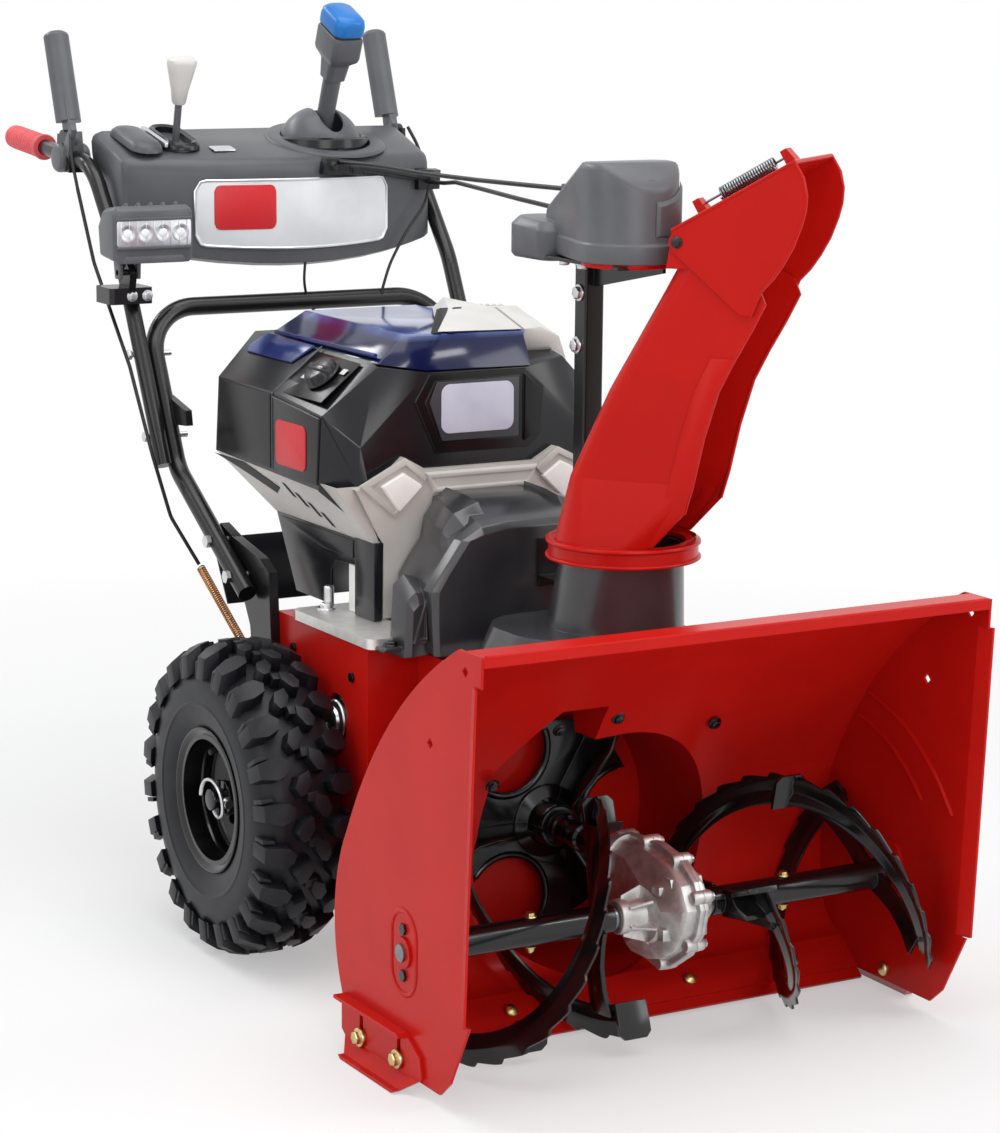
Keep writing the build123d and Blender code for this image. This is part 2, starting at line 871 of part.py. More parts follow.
def tyre(side):
    """Tyre carcass, open towards the rim."""
    centre = side * wheel_x
    half = tyre_width / 2
    seat = rim_r - 10 + running
    with BuildPart() as ring:
        with BuildSketch(Plane(origin=(centre, wheel_y, tyre_r), x_dir=(1, 0, 0), z_dir=(0, -1, 0))):
            with BuildLine():
                left = Polyline((-47.5, seat), (-47.5, rim_r + 2), (-half + 4, rim_r + 14))
                swell = ThreePointArc(left @ 1, (-half, 148), (-half + 5, tyre_r - 15))
                Polyline(
                    swell @ 1, (-half + 14, tyre_r - 3), (0, tyre_r), (half - 14, tyre_r - 3),
                    (half - 5, tyre_r - 15),
                )
                right = ThreePointArc((half - 5, tyre_r - 15), (half, 148), (half - 4, rim_r + 14))
                inner = Polyline(right @ 1, (47.5, rim_r + 2), (47.5, seat), (37, seat), (37, 100))
                roof = Polyline(inner @ 1, (49, 118), (49, 176), (-49, 176), (-49, 118), (-37, 100))
                Polyline(roof @ 1, (-37, seat), (-47.5, seat))
            make_face()
        revolve(axis=Axis((centre, wheel_y, tyre_r), (1, 0, 0)))
    return ring


def rim(side):
    """Pressed rim with its hub, the half axle it is pinned to and the lynch pin."""
    centre = side * wheel_x
    face = side * 12.0
    with BuildPart() as wheel:
        with BuildSketch(Plane(origin=(centre, wheel_y, tyre_r), x_dir=(side, 0, 0), z_dir=(0, -side, 0))):
            with BuildLine():
                Polyline(
                    (-52, rim_r), (-48, rim_r), (-48, rim_r - 10), (48, rim_r - 10), (48, rim_r),
                    (52, rim_r), (52, rim_r - 13), (12, rim_r - 13), (-6, rim_r - 40), (-6, 24),
                    (30, 20), (30, axle_r - 1), (-70, axle_r - 1), (-70, 20), (-40, 20), (-12, 24),
                    (-12, rim_r - 36), (2, rim_r - 13), (-52, rim_r - 13), (-52, rim_r),
                )
            make_face()
        revolve(axis=Axis((centre, wheel_y, tyre_r), (1, 0, 0)))
        with BuildSketch(across(side * (frame_x - 12))):
            with Locations((wheel_y, tyre_r)):
                Circle(axle_r)
        extrude(amount=side * (wheel_x - frame_x + 12 + 46))
        with BuildSketch(across(centre + face)):
            with Locations((wheel_y, tyre_r)):
                with PolarLocations(54, 4, start_angle=45):
                    Circle(9)
        extrude(amount=-side * 40, mode=Mode.SUBTRACT)
        pin_x = centre + side * 38
        add(rod((pin_x, wheel_y, tyre_r - 24), (pin_x, wheel_y, tyre_r + 24), 3))
    return wheel


# ---- Power head --------------------------------------------------------------------------

def base_plate():
    """Aluminium plate under the motor and power head."""
    with BuildPart() as plate:
        with BuildSketch(level(frame_top_z)):
            with Locations((0, (-262 - 47) / 2)):
                RectangleRounded(410, 215, 12)
                Rectangle(2 * tunnel_x, 60, mode=Mode.SUBTRACT)
        extrude(amount=base_thick)
    return plate


belt_cover_front_y = -310.0
belt_cover_back_y = -178.0
belt_cover_low_z = 412.0


def belt_cover():
    """Moulded cover over the upper run of the belt, open below and behind."""
    outline = (
        (-165, belt_cover_low_z), (-155, 500), (-145, 501), (-95, 568), (-57, 596),
        (57, 596), (95, 568), (145, 501), (155, 500), (165, belt_cover_low_z),
    )
    with BuildPart() as cover:
        with BuildSketch(facing(belt_cover_back_y)):
            Polygon(*outline, align=None)
        extrude(amount=belt_cover_back_y - belt_cover_front_y)
        with BuildSketch(facing(belt_cover_back_y)):
            Polygon(*outline, align=None)
            offset(amount=-cover_wall)
            with Locations((0, belt_cover_low_z)):
                Rectangle(318, 12)
        extrude(amount=belt_cover_back_y - belt_cover_front_y - cover_wall, mode=Mode.SUBTRACT)
        with BuildSketch(level(belt_cover_low_z - 1)):
            with Locations((0, -210)):
                Rectangle(420, 105)
        extrude(amount=frame_top_z + base_thick + free_gap - belt_cover_low_z + 1, mode=Mode.SUBTRACT)
    return cover


shroud_front_y = -166.0
shroud_back_y = 112.0


def motor_shroud():
    """Black lower shroud round the motor, with a window each side."""
    low_z = frame_top_z + base_thick
    with BuildPart() as shroud:
        with BuildSketch(across(-chin_x)):
            Polygon(
                (shroud_front_y, low_z), (shroud_front_y, chin_z), (shroud_back_y, chin_z),
                (64, low_z), align=None,
            )
        extrude(amount=2 * chin_x)
        with BuildSketch(across(-chin_x + cover_wall)):
            Polygon(
                (shroud_front_y + cover_wall, low_z - 1), (shroud_front_y + cover_wall, chin_z + 1),
                (shroud_back_y - cover_wall, chin_z + 1), (64 - cover_wall, low_z - 1), align=None,
            )
        extrude(amount=2 * (chin_x - cover_wall), mode=Mode.SUBTRACT)
        with BuildSketch(across(-chin_x - 1)):
            with Locations((-62, low_z + 16)):
                Rectangle(34, 28)
        extrude(amount=2 * chin_x + 2, mode=Mode.SUBTRACT)
        with BuildSketch(facing(shroud_front_y + cover_wall + 1)):
            with Locations((0, motor_z)):
                Circle(40)
        extrude(amount=cover_wall + 2, mode=Mode.SUBTRACT)
    return shroud


trim_front_y = -170.0


def silver_trim():
    """Silver-grey chin under the power head and the banded plate on its front."""
    front_gap = power_front_y - weld_gap
    with BuildPart() as trim:
        for inset, lift, mode in ((0.0, 0.0, Mode.ADD), (cover_wall, 0.2, Mode.SUBTRACT)):
            with BuildSketch(level(chin_z + weld_gap - lift)):
                with Locations((0, (shroud_front_y + shroud_back_y) / 2)):
                    Rectangle(2 * (chin_x - inset), shroud_back_y - shroud_front_y - 2 * inset)
            with BuildSketch(level(power_low_z - weld_gap + lift)):
                with Locations((0, (power_front_y + 190) / 2)):
                    Rectangle(2 * (power_x - inset) - 1, 190 - power_front_y - 2 * inset)
            loft(mode=mode)
        with BuildSketch(facing(shroud_front_y - weld_gap)):
            Polygon(
                (-139, 436), (-139, 530), (-176, 600), (-127, 622), (-109, 637), (-79, 620),
                (79, 620), (109, 637), (127, 622), (176, 600), (139, 530), (139, 436), align=None,
            )
        extrude(amount=shroud_front_y - weld_gap - trim_front_y)
        with BuildSketch(facing(front_gap)):
            Polygon(
                (-176, 600), (-127, 622), (-109, 637), (-79, 620), (79, 620), (109, 637),
                (127, 622), (176, 600), align=None,
            )
        extrude(amount=front_gap - shroud_front_y + 1)
        with BuildSketch(facing(trim_front_y + 8)):
            with Locations((0, motor_z)):
                Circle(40)
        extrude(amount=9, mode=Mode.SUBTRACT)
    return trim


lid_left_x = -130.0
lid_right_x = 80.0
lid_front_y = -143.0
lid_back_y = 165.0


def power_form(inset):
    """Faceted outer form of the power head, or the same form inset by a wall."""
    with BuildPart() as form:
        with BuildSketch(facing(power_back_y - inset)):
            Polygon(
                (-power_x, power_low_z), (-power_x, shoulder_z), (-roof_x, roof_z),
                (roof_x, roof_z), (power_x, shoulder_z), (power_x, power_low_z), align=None,
            )
            if inset:
                offset(amount=-inset)
                with Locations((0, power_low_z)):
                    Rectangle(2 * (power_x - inset), 2 * inset + 1)
        extrude(amount=power_back_y - power_front_y - 2 * inset)
        with BuildSketch(across(-power_x - 1)):
            Polygon(
                (power_front_y, power_low_z - 9), (power_front_y, 737), (lid_front_y, roof_z),
                (power_back_y - 12, roof_z), (power_back_y, shoulder_z), (power_back_y, power_low_z - 9),
                align=None,
            )
            if inset:
                offset(amount=-inset)
        extrude(amount=2 * power_x + 2, mode=Mode.INTERSECT)
        with BuildSketch(level(power_low_z - 10)):
            Polygon(
                (-166, power_front_y), (-power_x, -120), (-power_x, 190), (-165, power_back_y),
                (165, power_back_y), (power_x, 190), (power_x, -120), (166, power_front_y), align=None,
            )
            if inset:
                offset(amount=-inset)
        extrude(amount=300, mode=Mode.INTERSECT)
    return form.part


dial_x = -166.0
dial_y = -62.0
dial_r = 25.0


def dial_plane():
    """Plane of the bevelled shoulder under the dial, facing up and outward."""
    run = Vector(power_x - roof_x, 0, roof_z - shoulder_z).normalized()
    height = shoulder_z + (dial_x + power_x) * (roof_z - shoulder_z) / (power_x - roof_x)
    return Plane(origin=(dial_x, dial_y, height), x_dir=(0, -1, 0), z_dir=(-run.Z, 0, run.X))


def power_housing():
    with BuildPart() as housing:
        add(power_form(0.0))
        add(power_form(cover_wall), mode=Mode.SUBTRACT)
        with BuildSketch(level(roof_z - 8)):
            with Locations((-22, 5)):
                Rectangle(196, 256)
        extrude(amount=20, mode=Mode.SUBTRACT)
        with BuildSketch(dial_plane()):
            Circle(6 + running)
        extrude(amount=-8, mode=Mode.SUBTRACT)
    return housing


def battery_packs():
    """Two battery packs standing in the well under the lid."""
    with BuildPart() as packs:
        for x in (-72, 28):
            with BuildSketch(level(640)):
                with Locations((x, 5)):
                    RectangleRounded(88, 236, 8)
            extrude(amount=roof_z + 2 - 640)
        for x in (-72, 28):
            with BuildSketch(level(636)):
                with Locations((x, 5)):
                    RectangleRounded(80, 220, 8)
            extrude(amount=4)
        with BuildSketch(level(630)):
            with Locations((0, 5)):
                Rectangle(2 * (power_x - cover_wall) - 0.2, 200)
        extrude(amount=6)
    return packs


lid_hinge_x = -129.5
lid_hinge_z = 760.5
lid_hinge_r = 3.0


def battery_lid():
    """Tinted lid over the packs, with the hinge rod along its left edge."""
    with BuildPart() as lid:
        for inset, mode in ((0.0, Mode.ADD), (cover_wall, Mode.SUBTRACT)):
            with BuildSketch(level(roof_z + free_gap - inset / 6)):
                with Locations(((lid_left_x + lid_right_x) / 2, (lid_front_y + lid_back_y) / 2)):
                    Rectangle(
                        lid_right_x - lid_left_x - 2 * inset, lid_back_y - lid_front_y - 2 * inset
                    )
            with BuildSketch(level(lid_top_z - inset)):
                with Locations(((lid_left_x + lid_right_x + 44) / 2, (lid_front_y + lid_back_y) / 2)):
                    Rectangle(
                        lid_right_x - lid_left_x - 48 - 2 * inset,
                        lid_back_y - lid_front_y - 36 - 2 * inset,
                    )
            loft(mode=mode)
        rod_start = (lid_hinge_x, lid_front_y + 12, lid_hinge_z)
        rod_end = (lid_hinge_x, lid_back_y - 12, lid_hinge_z)
        add(rod(rod_start, rod_end, lid_hinge_r))
    return lid


def vent_cover():
    """Raised light-grey vent moulding beside the lid, slotted across the top."""
    shoulder = (roof_z - shoulder_z) / (power_x - roof_x)
    edge_x = 178.0
    edge_z = roof_z - (edge_x - roof_x) * shoulder + 0.2
    with BuildPart() as vent:
        with BuildSketch(facing(150)):
            Polygon(
                (lid_right_x + 3, roof_z + 0.2), (roof_x, roof_z + 0.2), (edge_x, edge_z),
                (171, edge_z + 14), (155, 776), (106, 805), (lid_right_x + 3, 802), align=None,
            )
        extrude(amount=270)
        with BuildSketch(level(760)):
            with GridLocations(0, 24, 1, 9):
                with Locations((118, 15)):
                    Rectangle(48, 8)
        extrude(amount=60, mode=Mode.SUBTRACT)
    return vent


def dial():
    with BuildPart() as knob:
        with BuildSketch(dial_plane().offset(free_gap)):
            Circle(dial_r)
        extrude(amount=6)
        with BuildSketch(dial_plane().offset(free_gap + 6)):
            Circle(dial_r - 6)
            Rectangle(2 * dial_r - 6, 9)
        extrude(amount=9)
        with BuildSketch(dial_plane().offset(free_gap)):
            Circle(6)
        extrude(amount=-10)
    return knob


# ---- Chute -------------------------------------------------------------------------------

chute_out = Vector(sin(radians(chute_turn)), -cos(radians(chute_turn)), 0)
chute_across = Vector(-cos(radians(chute_turn)), -sin(radians(chute_turn)), 0)
chute_wall = 3.0
ring_low_z = 561.0


def chute_level(z):
    """Horizontal plane on the chute's axis; sketch x points where the chute throws."""
    return Plane(origin=(0, chute_y, z), x_dir=chute_out, z_dir=(0, 0, 1))


def chute_side(v):
    """Upright plane along the chute at v across it; sketch coordinates (outward, z)."""
    return Plane(origin=Vector(0, chute_y, 0) + chute_across * v, x_dir=chute_out, z_dir=chute_across)


# Height, back, front and corner radius of the chute's outer section
chute_sections = (
    (579, -76, 76, 58),
    (661, -49, 125, 24),
    (764, -2, 170, 24),
    (878, 62, 230, 24),
    (942, 97, 260, 24),
)


def chute():
    """Discharge chute: swivel ring, round throat and a channel open towards the front."""
    ring_top_z = ring_low_z + ring_height
    with BuildPart() as body:
        for inset, mode in ((0.0, Mode.ADD), (chute_wall, Mode.SUBTRACT)):
            for index, (z, back, front, corner) in enumerate(chute_sections):
                first = index == 0
                last = index == len(chute_sections) - 1
                low = back + inset
                high = front - inset if first else front + 2 * inset
                half = (76 if first else chute_half) - inset
                drop = inset if first else 0.0
                lift = inset if last else 0.0
                with BuildSketch(chute_level(z - drop + lift)):
                    with Locations(((low + high) / 2, 0)):
                        RectangleRounded(high - low, 2 * half, corner - inset)
            loft(ruled=True, mode=mode)
        with BuildSketch(chute_side(-160)):
            Polygon(
                (60, 586), (98, 628), (107, 660), (119, 716), (135, 770), (157, 813), (172, 840),
                (188, 872), (180, 890), (108, 926), (80, 946), (60, 1000), (300, 1000), (300, 586),
                align=None,
            )
        extrude(amount=320, mode=Mode.SUBTRACT)
        with BuildSketch(chute_level(ring_top_z - 5)):
            Circle(ring_r)
            Circle(neck_r + 2, mode=Mode.SUBTRACT)
        extrude(amount=5)
        with BuildSketch(chute_level(ring_low_z)):
            Circle(ring_r)
            Circle(ring_r - 3, mode=Mode.SUBTRACT)
        extrude(amount=ring_height)
        with BuildSketch(chute_level(ring_low_z - 30)):
            Circle(neck_r + 2)
        extrude(amount=60, mode=Mode.SUBTRACT)
        for v in (-chute_half, chute_half - chute_wall):
            with BuildSketch(chute_side(v)):
                Polygon(
                    (hinge_u - 14, hinge_z - 30), (hinge_u - 8, hinge_z + 4), (hinge_u + 2, hinge_z + 9),
                    (hinge_u + 12, hinge_z), (hinge_u + 30, hinge_z - 30), align=None,
                )
            extrude(amount=chute_wall)
        with BuildSketch(chute_side(-100)):
            with Locations((hinge_u, hinge_z)):
                Circle(hinge_r + running)
        extrude(amount=200, mode=Mode.SUBTRACT)
    return body


hood_top_u = 218.0
hood_top_z = 1030.0


def deflector():
    """Tilting hood outside the chute's walls, with its hinge pin."""
    inner = chute_half + deflector_gap
    rise = Vector(hood_top_u - hinge_u, hood_top_z - hinge_z)
    run = rise.normalized()
    normal = Vector(-run.Y, run.X)
    low = Vector(hinge_u, hinge_z) + normal * 14 + run * 2
    high = Vector(hood_top_u, hood_top_z)
    with BuildPart() as hood:
        for v in (inner, -inner - sheet):
            with BuildSketch(chute_side(v)):
                with BuildLine():
                    roof = Line((low.X, low.Y), (high.X, high.Y))
                    brow = ThreePointArc(roof @ 1, (233, 994), (228, 961))
                    chin = ThreePointArc(brow @ 1, (208, 917), (184, 887))
                    Polyline(chin @ 1, (172, 858), (160, 858), (hinge_u - 6, hinge_z - 10), roof @ 0)
                make_face()
                with Locations((hinge_u, hinge_z)):
                    Circle(10)
            extrude(amount=sheet)
        thick = normal * -sheet
        with BuildSketch(chute_side(-inner - sheet)):
            Polygon(
                (low.X, low.Y), (high.X, high.Y), (high.X + thick.X, high.Y + thick.Y),
                (low.X + thick.X, low.Y + thick.Y), align=None,
            )
        extrude(amount=2 * (inner + sheet))
        with BuildSketch(chute_side(-inner - sheet - 3)):
            with Locations((hinge_u, hinge_z)):
                Circle(hinge_r)
        extrude(amount=2 * (inner + sheet + 3))
        slope = (high - low).normalized()
        upright = Vector(-slope.Y, slope.X)
        for base in (low + slope * 16, high - slope * 28):
            tip = base + upright * spring_rise
            with BuildSketch(chute_side(-9)):
                Polygon(
                    (base.X, base.Y), (base.X + slope.X * 14, base.Y + slope.Y * 14),
                    (tip.X + slope.X * 8, tip.Y + slope.Y * 8), (tip.X, tip.Y), align=None,
                )
            extrude(amount=18)
    return hood


spring_rise = 24.0


def deflector_spring():
    """Tension spring lying above the hood between its two brackets."""
    rise = Vector(hood_top_u - hinge_u, hood_top_z - hinge_z).normalized()
    low = Vector(hinge_u, hinge_z) + Vector(-rise.Y, rise.X) * 14 + rise * 2
    high = Vector(hood_top_u, hood_top_z)
    slope = (high - low).normalized()
    upright = Vector(-slope.Y, slope.X) * (spring_rise - 8)
    start = low + slope * 26.3 + upright
    end = high - slope * 28.3 + upright

    def place(point):
        spot = Vector(0, chute_y, 0) + chute_out * point.X + Vector(0, 0, point.Y)
        return tuple(spot)

    with BuildPart() as spring:
        add(spring_body(place(start), place(end), 7, 1.5, 10))
    return spring


def chute_post():
    """Square post behind the chute, its foot on the belt cover and a gusset at its top."""
    foot_z = 500.0
    plate = 4.0
    front_y = post_y - post_side / 2
    back_y = post_y + post_side / 2
    with BuildPart() as post:
        with BuildSketch(level(foot_z)):
            with Locations((post_x, post_y)):
                RectangleRounded(post_side, post_side, 3)
                Rectangle(post_side - 5, post_side - 5, mode=Mode.SUBTRACT)
        extrude(amount=post_top_z - foot_z)
        with BuildSketch(level(foot_z)):
            with Locations((post_x, (front_y + belt_cover_front_y - weld_gap) / 2)):
                Rectangle(post_side + 20, belt_cover_front_y - weld_gap - front_y)
        extrude(amount=plate)
        with BuildSketch(facing(belt_cover_front_y - weld_gap)):
            with Locations((post_x, foot_z + 20)):
                Rectangle(post_side + 20, 60)
        extrude(amount=plate)
        with BuildSketch(across(post_x - plate / 2)):
            Polygon(
                (back_y, post_top_z - 34), (back_y, post_top_z), (chute_y - 40, post_top_z),
                (chute_y - 40, post_top_z - 6), (front_y - 6, post_top_z - 34), align=None,
            )
        extrude(amount=plate)
        with BuildSketch(level(post_top_z)):
            with Locations((0, (chute_y - 45 + back_y) / 2)):
                Rectangle(84, back_y - chute_y + 45)
        extrude(amount=plate)
    return post


head_back_y = -345.0
head_back_half = 14.0


def head_form(inset):
    """Head cover's outer form, tapering and sloping down to the back, or the same form inset."""
    with BuildPart() as form:
        with BuildSketch(level(head_low_z - inset)):
            with Locations((0, chute_y)):
                Circle(head_r - inset)
            Polygon(
                (-head_r + inset, chute_y), (-head_r + inset + 3, chute_y + 22),
                (-head_back_half + inset, head_back_y - inset),
                (head_back_half - inset, head_back_y - inset),
                (head_r - inset - 3, chute_y + 22), (head_r - inset, chute_y), align=None,
            )
        extrude(amount=head_top_z - head_low_z)
        with BuildSketch(across(-head_r - 1)):
            Polygon(
                (chute_y - head_r - 1, head_top_z - 26 - inset), (chute_y - 22, head_top_z - inset),
                (chute_y + 20, head_top_z - inset), (head_back_y + 1, 960 - inset),
                (head_back_y + 1, head_top_z + 10), (chute_y - head_r - 1, head_top_z + 10),
                align=None,
            )
        extrude(amount=2 * head_r + 2, mode=Mode.SUBTRACT)
    return form.part


def chute_head_cover():
    """Moulded cover of the chute's turning gear, with a lower side cover and the cables' anchor."""
    with BuildPart() as head:
        add(head_form(0.0))
        with BuildSketch(level(head_low_z)):
            with Locations((-7, -352.5)):
                RectangleRounded(54, 89, 12)
        extrude(amount=36)
        add(head_form(cover_wall), mode=Mode.SUBTRACT)
        with BuildSketch(level(head_low_z - cover_wall)):
            with Locations((-7, -352.5)):
                RectangleRounded(54 - 2 * cover_wall, 89 - 2 * cover_wall, 12 - cover_wall)
        extrude(amount=36, mode=Mode.SUBTRACT)
        with BuildSketch(level(936)):
            with Locations((25, -346)):
                Rectangle(34, 16)
        extrude(amount=48)
    return head


# ---- Handles -----------------------------------------------------------------------------

u_tube_points = ((40, 438), (256, 570), (356, 775))
bracket_bolt_places = ((70, 456.3), (130, 493.0))
tube_points = ((247, 577), (372, 828), (480, 962), (grip_end_y - 6, 985))
grip_start_y = 651.0
handle_bolt_places = ((277, 612.5), (328, 717.0))


def lower_handle():
    """U-shaped lower handle with a steadying arm on each leg."""
    legs = [(-u_tube_x, y, z) for y, z in u_tube_points]
    points = legs + [(u_tube_x, y, z) for y, z in reversed(u_tube_points)]
    with BuildPart() as handle:
        add(tube_path(points, [60, 70, 70, 60], u_tube_r))
        for side in (-1, 1):
            low = side * (u_tube_x - 14)
            with BuildSketch(across(low)):
                Polygon((302, 664), (240, 650), (236, 630), (288, 626), align=None)
            extrude(amount=side * 10)
            for y, z in bracket_bolt_places:
                spot = (low, y, z)
                add(rod(spot, (side * (u_tube_x + 15), y, z), 5 + running), mode=Mode.SUBTRACT)
            for y, z in handle_bolt_places:
                spot = (low, y, z)
                add(rod(spot, (side * (u_tube_x + 15), y, z), 4 + running), mode=Mode.SUBTRACT)
    return handle


def handle_brackets():
    """Black brackets joining the lower handle's legs to the frame."""
    bracket_outer = u_tube_x - u_tube_r - 0.3
    with BuildPart() as brackets:
        for side in (-1, 1):
            with BuildSketch(across(side * (frame_x + 0.1))):
                Polygon(
                    (-4, 366), (4, 470), (30, 484), (110, 500), (150, 512), (160, 486), (96, 452),
                    (60, 392), (56, 366), align=None,
                )
                with Locations(*bracket_bolt_places):
                    Circle(5 + running, mode=Mode.SUBTRACT)
            extrude(amount=side * (bracket_outer - frame_x - 0.1))
    return brackets


def upper_handles():
    """Left and right upper handle tubes, each with its lever clamp."""
    with BuildPart() as handle:
        add(tube_path([(-tube_x, y, z) for y, z in tube_points], [150, 90], tube_r))
        with BuildSketch(across(-tube_x - 8)):
            with BuildLine():
                Polyline((528, 962), (532, 1000), (568, 1000), (574, 964), (528, 962))
            make_face()
            with Locations(lever_pivot):
                Circle(14)
        extrude(amount=-7)
        add(rod((-tube_x - 14, *lever_pivot), (-tube_x + 8, *lever_pivot), lever_pin_r))
        with BuildSketch(across(-tube_x - 14)):
            with Locations((551, 962.6)):
                Rectangle(44, 26, rotation=4.5)
        extrude(amount=26)
        for y, z in handle_bolt_places:
            add(rod((-tube_x - 20, y, z), (-tube_x + 20, y, z), 4 + running), mode=Mode.SUBTRACT)
    with BuildPart() as pair:
        add(both_sides(handle.part))
    return pair


def handle_bolts():
    """Zinc-plated bolts of the handle brackets and of the upper handle tubes."""
    with BuildPart() as bolts:
        for side in (-1, 1):
            for y, z in bracket_bolt_places:
                place = Plane(
                    origin=(side * (u_tube_x + u_tube_r + 0.1), y, z), x_dir=(0, 1, 0), z_dir=(side, 0, 0)
                )
                add(hex_bolt(place, u_tube_x + u_tube_r - 0.4 - frame_x, 5, 6))
            for y, z in handle_bolt_places:
                place = Plane(
                    origin=(side * (tube_x + tube_r + 0.1), y, z), x_dir=(0, 1, 0), z_dir=(side, 0, 0)
                )
                add(hex_bolt(place, 58, 4, 5))
    return bolts


def grip_axis(t):
    """Point on the straight end of the left handle tube, t from 0 at its bend to 1 at its end."""
    (start_y, start_z), (end_y, end_z) = tube_points[-2:]
    return Vector(-tube_x, start_y + (end_y - start_y) * t, start_z + (end_z - start_z) * t)


def grips():
    length = grip_end_y - 6 - tube_points[-2][0]
    first = (grip_start_y - tube_points[-2][0]) / length
    with BuildPart() as grip:
        add(rod(tuple(grip_axis(first)), tuple(grip_axis(1.0 + 4.6 / length)), grip_r))
        add(
            rod(tuple(grip_axis(first - 0.1)), tuple(grip_axis(1.0 + 0.1 / length)), tube_r + running),
            mode=Mode.SUBTRACT,
        )
    with BuildPart() as pair:
        add(both_sides(grip.part))
    return pair


lever_pivot = (550.0, 992.0)
lever_pin_r = 5.0


lever_slope = Vector(0, 50, 142).normalized()
lever_channel_r = 18.0
lever_wall = 3.5


def lever_plane(reach):
    """Plane across the left lever's channel at a distance up from its pivot."""
    back = Vector(0, lever_slope.Z, -lever_slope.Y) * 4.8
    spot = Vector(-tube_x, *lever_pivot) + back + lever_slope * reach
    return Plane(origin=spot, x_dir=(1, 0, 0), z_dir=lever_slope)


def lever():
    """Left hand lever: a half-round moulded channel on a hub with a cross pin."""
    with BuildPart() as handle:
        with BuildSketch(across(-tube_x - 7.5)):
            Polygon((537, 992), (558, 1052), (576, 1046), (562, 986), align=None)
            with Locations(lever_pivot):
                Circle(13)
                Circle(lever_pin_r + running, mode=Mode.SUBTRACT)
        extrude(amount=11)
        for start, length, hollow in ((26, 4, False), (30, 116, True), (146, 4, False)):
            with BuildSketch(lever_plane(start)):
                Circle(lever_channel_r)
                if hollow:
                    Circle(lever_channel_r - lever_wall, mode=Mode.SUBTRACT)
                with Locations((0, 1 - lever_channel_r / 2)):
                    Rectangle(2 * lever_channel_r, lever_channel_r + 2, mode=Mode.INTERSECT)
            extrude(amount=length)
    return handle


# ---- Console -----------------------------------------------------------------------------

dome_x = 87.0
dome_y = 457.0
dome_z = 978.0
dome_r = 60.0
dome_wall = 4.0
dome_ring = 5.0
trunnion_r = 4.0
speed_x = -140.0
speed_y = 455.0
speed_z = 955.0
speed_pin_r = 6.0


def console_form(inset):
    """Outer form of the console, or the same form inset by a wall and open below."""
    with BuildPart() as form:
        with BuildSketch(across(-console_x + inset)):
            Polygon(
                (console_front_y, 845), (console_front_y + 4, 958), (368, 974), (506, 1006),
                (console_back_y, 994), (496, 905), (452, 862), (388, console_low_z), align=None,
            )
            if inset:
                offset(amount=-inset)
                Polygon(
                    (358, 836), (388, console_low_z - 6), (452, 856), (499, 903),
                    (492, 915), (440, 880), (380, 850), align=None,
                )
        extrude(amount=2 * (console_x - inset))
        with BuildSketch(level(console_low_z - 20)):
            with BuildLine():
                front = ThreePointArc(
                    (-console_x, 404), (0, console_front_y), (console_x, 404)
                )
                Polyline(front @ 1, (console_x, console_back_y), (-console_x, console_back_y), front @ 0)
            make_face()
            if inset:
                offset(amount=-inset)
        extrude(amount=260, mode=Mode.INTERSECT)
    return form.part


def console():
    with BuildPart() as body:
        add(console_form(0.0))
        add(console_form(cover_wall), mode=Mode.SUBTRACT)
        for x in (speed_x - 20, speed_x + 16):
            with BuildSketch(across(x)):
                Polygon((404, 940), (404, 980), (500, 1002), (500, 935), align=None)
            extrude(amount=4)
        add(rod((speed_x - 20, speed_y, speed_z), (speed_x + 20, speed_y, speed_z), speed_pin_r))
        with BuildSketch(level(970)):
            with Locations((dome_x, dome_y)):
                Circle(dome_r + dome_ring)
        extrude(amount=26)
        with BuildSketch(level(900)):
            with Locations((dome_x, dome_y)):
                Circle(dome_r + 1)
        extrude(amount=200, mode=Mode.SUBTRACT)
        trunnion_start = (dome_x, dome_y - dome_r - dome_ring - 1, dome_z)
        trunnion_end = (dome_x, dome_y + dome_r + dome_ring + 1, dome_z)
        add(rod(trunnion_start, trunnion_end, trunnion_r + running), mode=Mode.SUBTRACT)
        with BuildSketch(level(speed_z + 25)):
            with Locations((speed_x, speed_y)):
                Rectangle(28, 76)
        extrude(amount=60, mode=Mode.SUBTRACT)
        for side in (-1, 1):
            end_x = side * (tube_x - tube_r - 0.1)
            add(rod((side * (console_x - 2), 432.5, 903), (end_x, 432.5, 903), 9))
    return body


def joystick_dome():
    """Hollow dome on two trunnions in the console's ring, slotted for the stick."""
    with BuildPart() as dome:
        with Locations((dome_x, dome_y, dome_z)):
            Sphere(dome_r)
        trunnion_start = (dome_x, dome_y - dome_r - dome_ring + 0.5, dome_z)
        trunnion_end = (dome_x, dome_y + dome_r + dome_ring - 0.5, dome_z)
        add(rod(trunnion_start, trunnion_end, trunnion_r))
        with Locations((dome_x, dome_y, dome_z)):
            Sphere(dome_r - dome_wall, mode=Mode.SUBTRACT)
        pin_start = (dome_x - dome_r - 1, dome_y, dome_z)
        pin_end = (dome_x + dome_r + 1, dome_y, dome_z)
        add(rod(pin_start, pin_end, trunnion_r + running), mode=Mode.SUBTRACT)
        with BuildSketch(level(dome_z - 80)):
            with Locations((dome_x, dome_y)):
                Rectangle(160, 160)
        extrude(amount=50, mode=Mode.SUBTRACT)
        with BuildSketch(level(dome_z + 10)):
            with Locations((dome_x, dome_y - 12)):
                SlotOverall(84, stick_slot, rotation=90)
        extrude(amount=60, mode=Mode.SUBTRACT)
    return dome


stick_slot = 34.0
stick_reach = 200.0
trigger_stem_r = 5.0
trigger_travel = 4.0
stick_lean = Vector(-4, -70, 154).normalized()


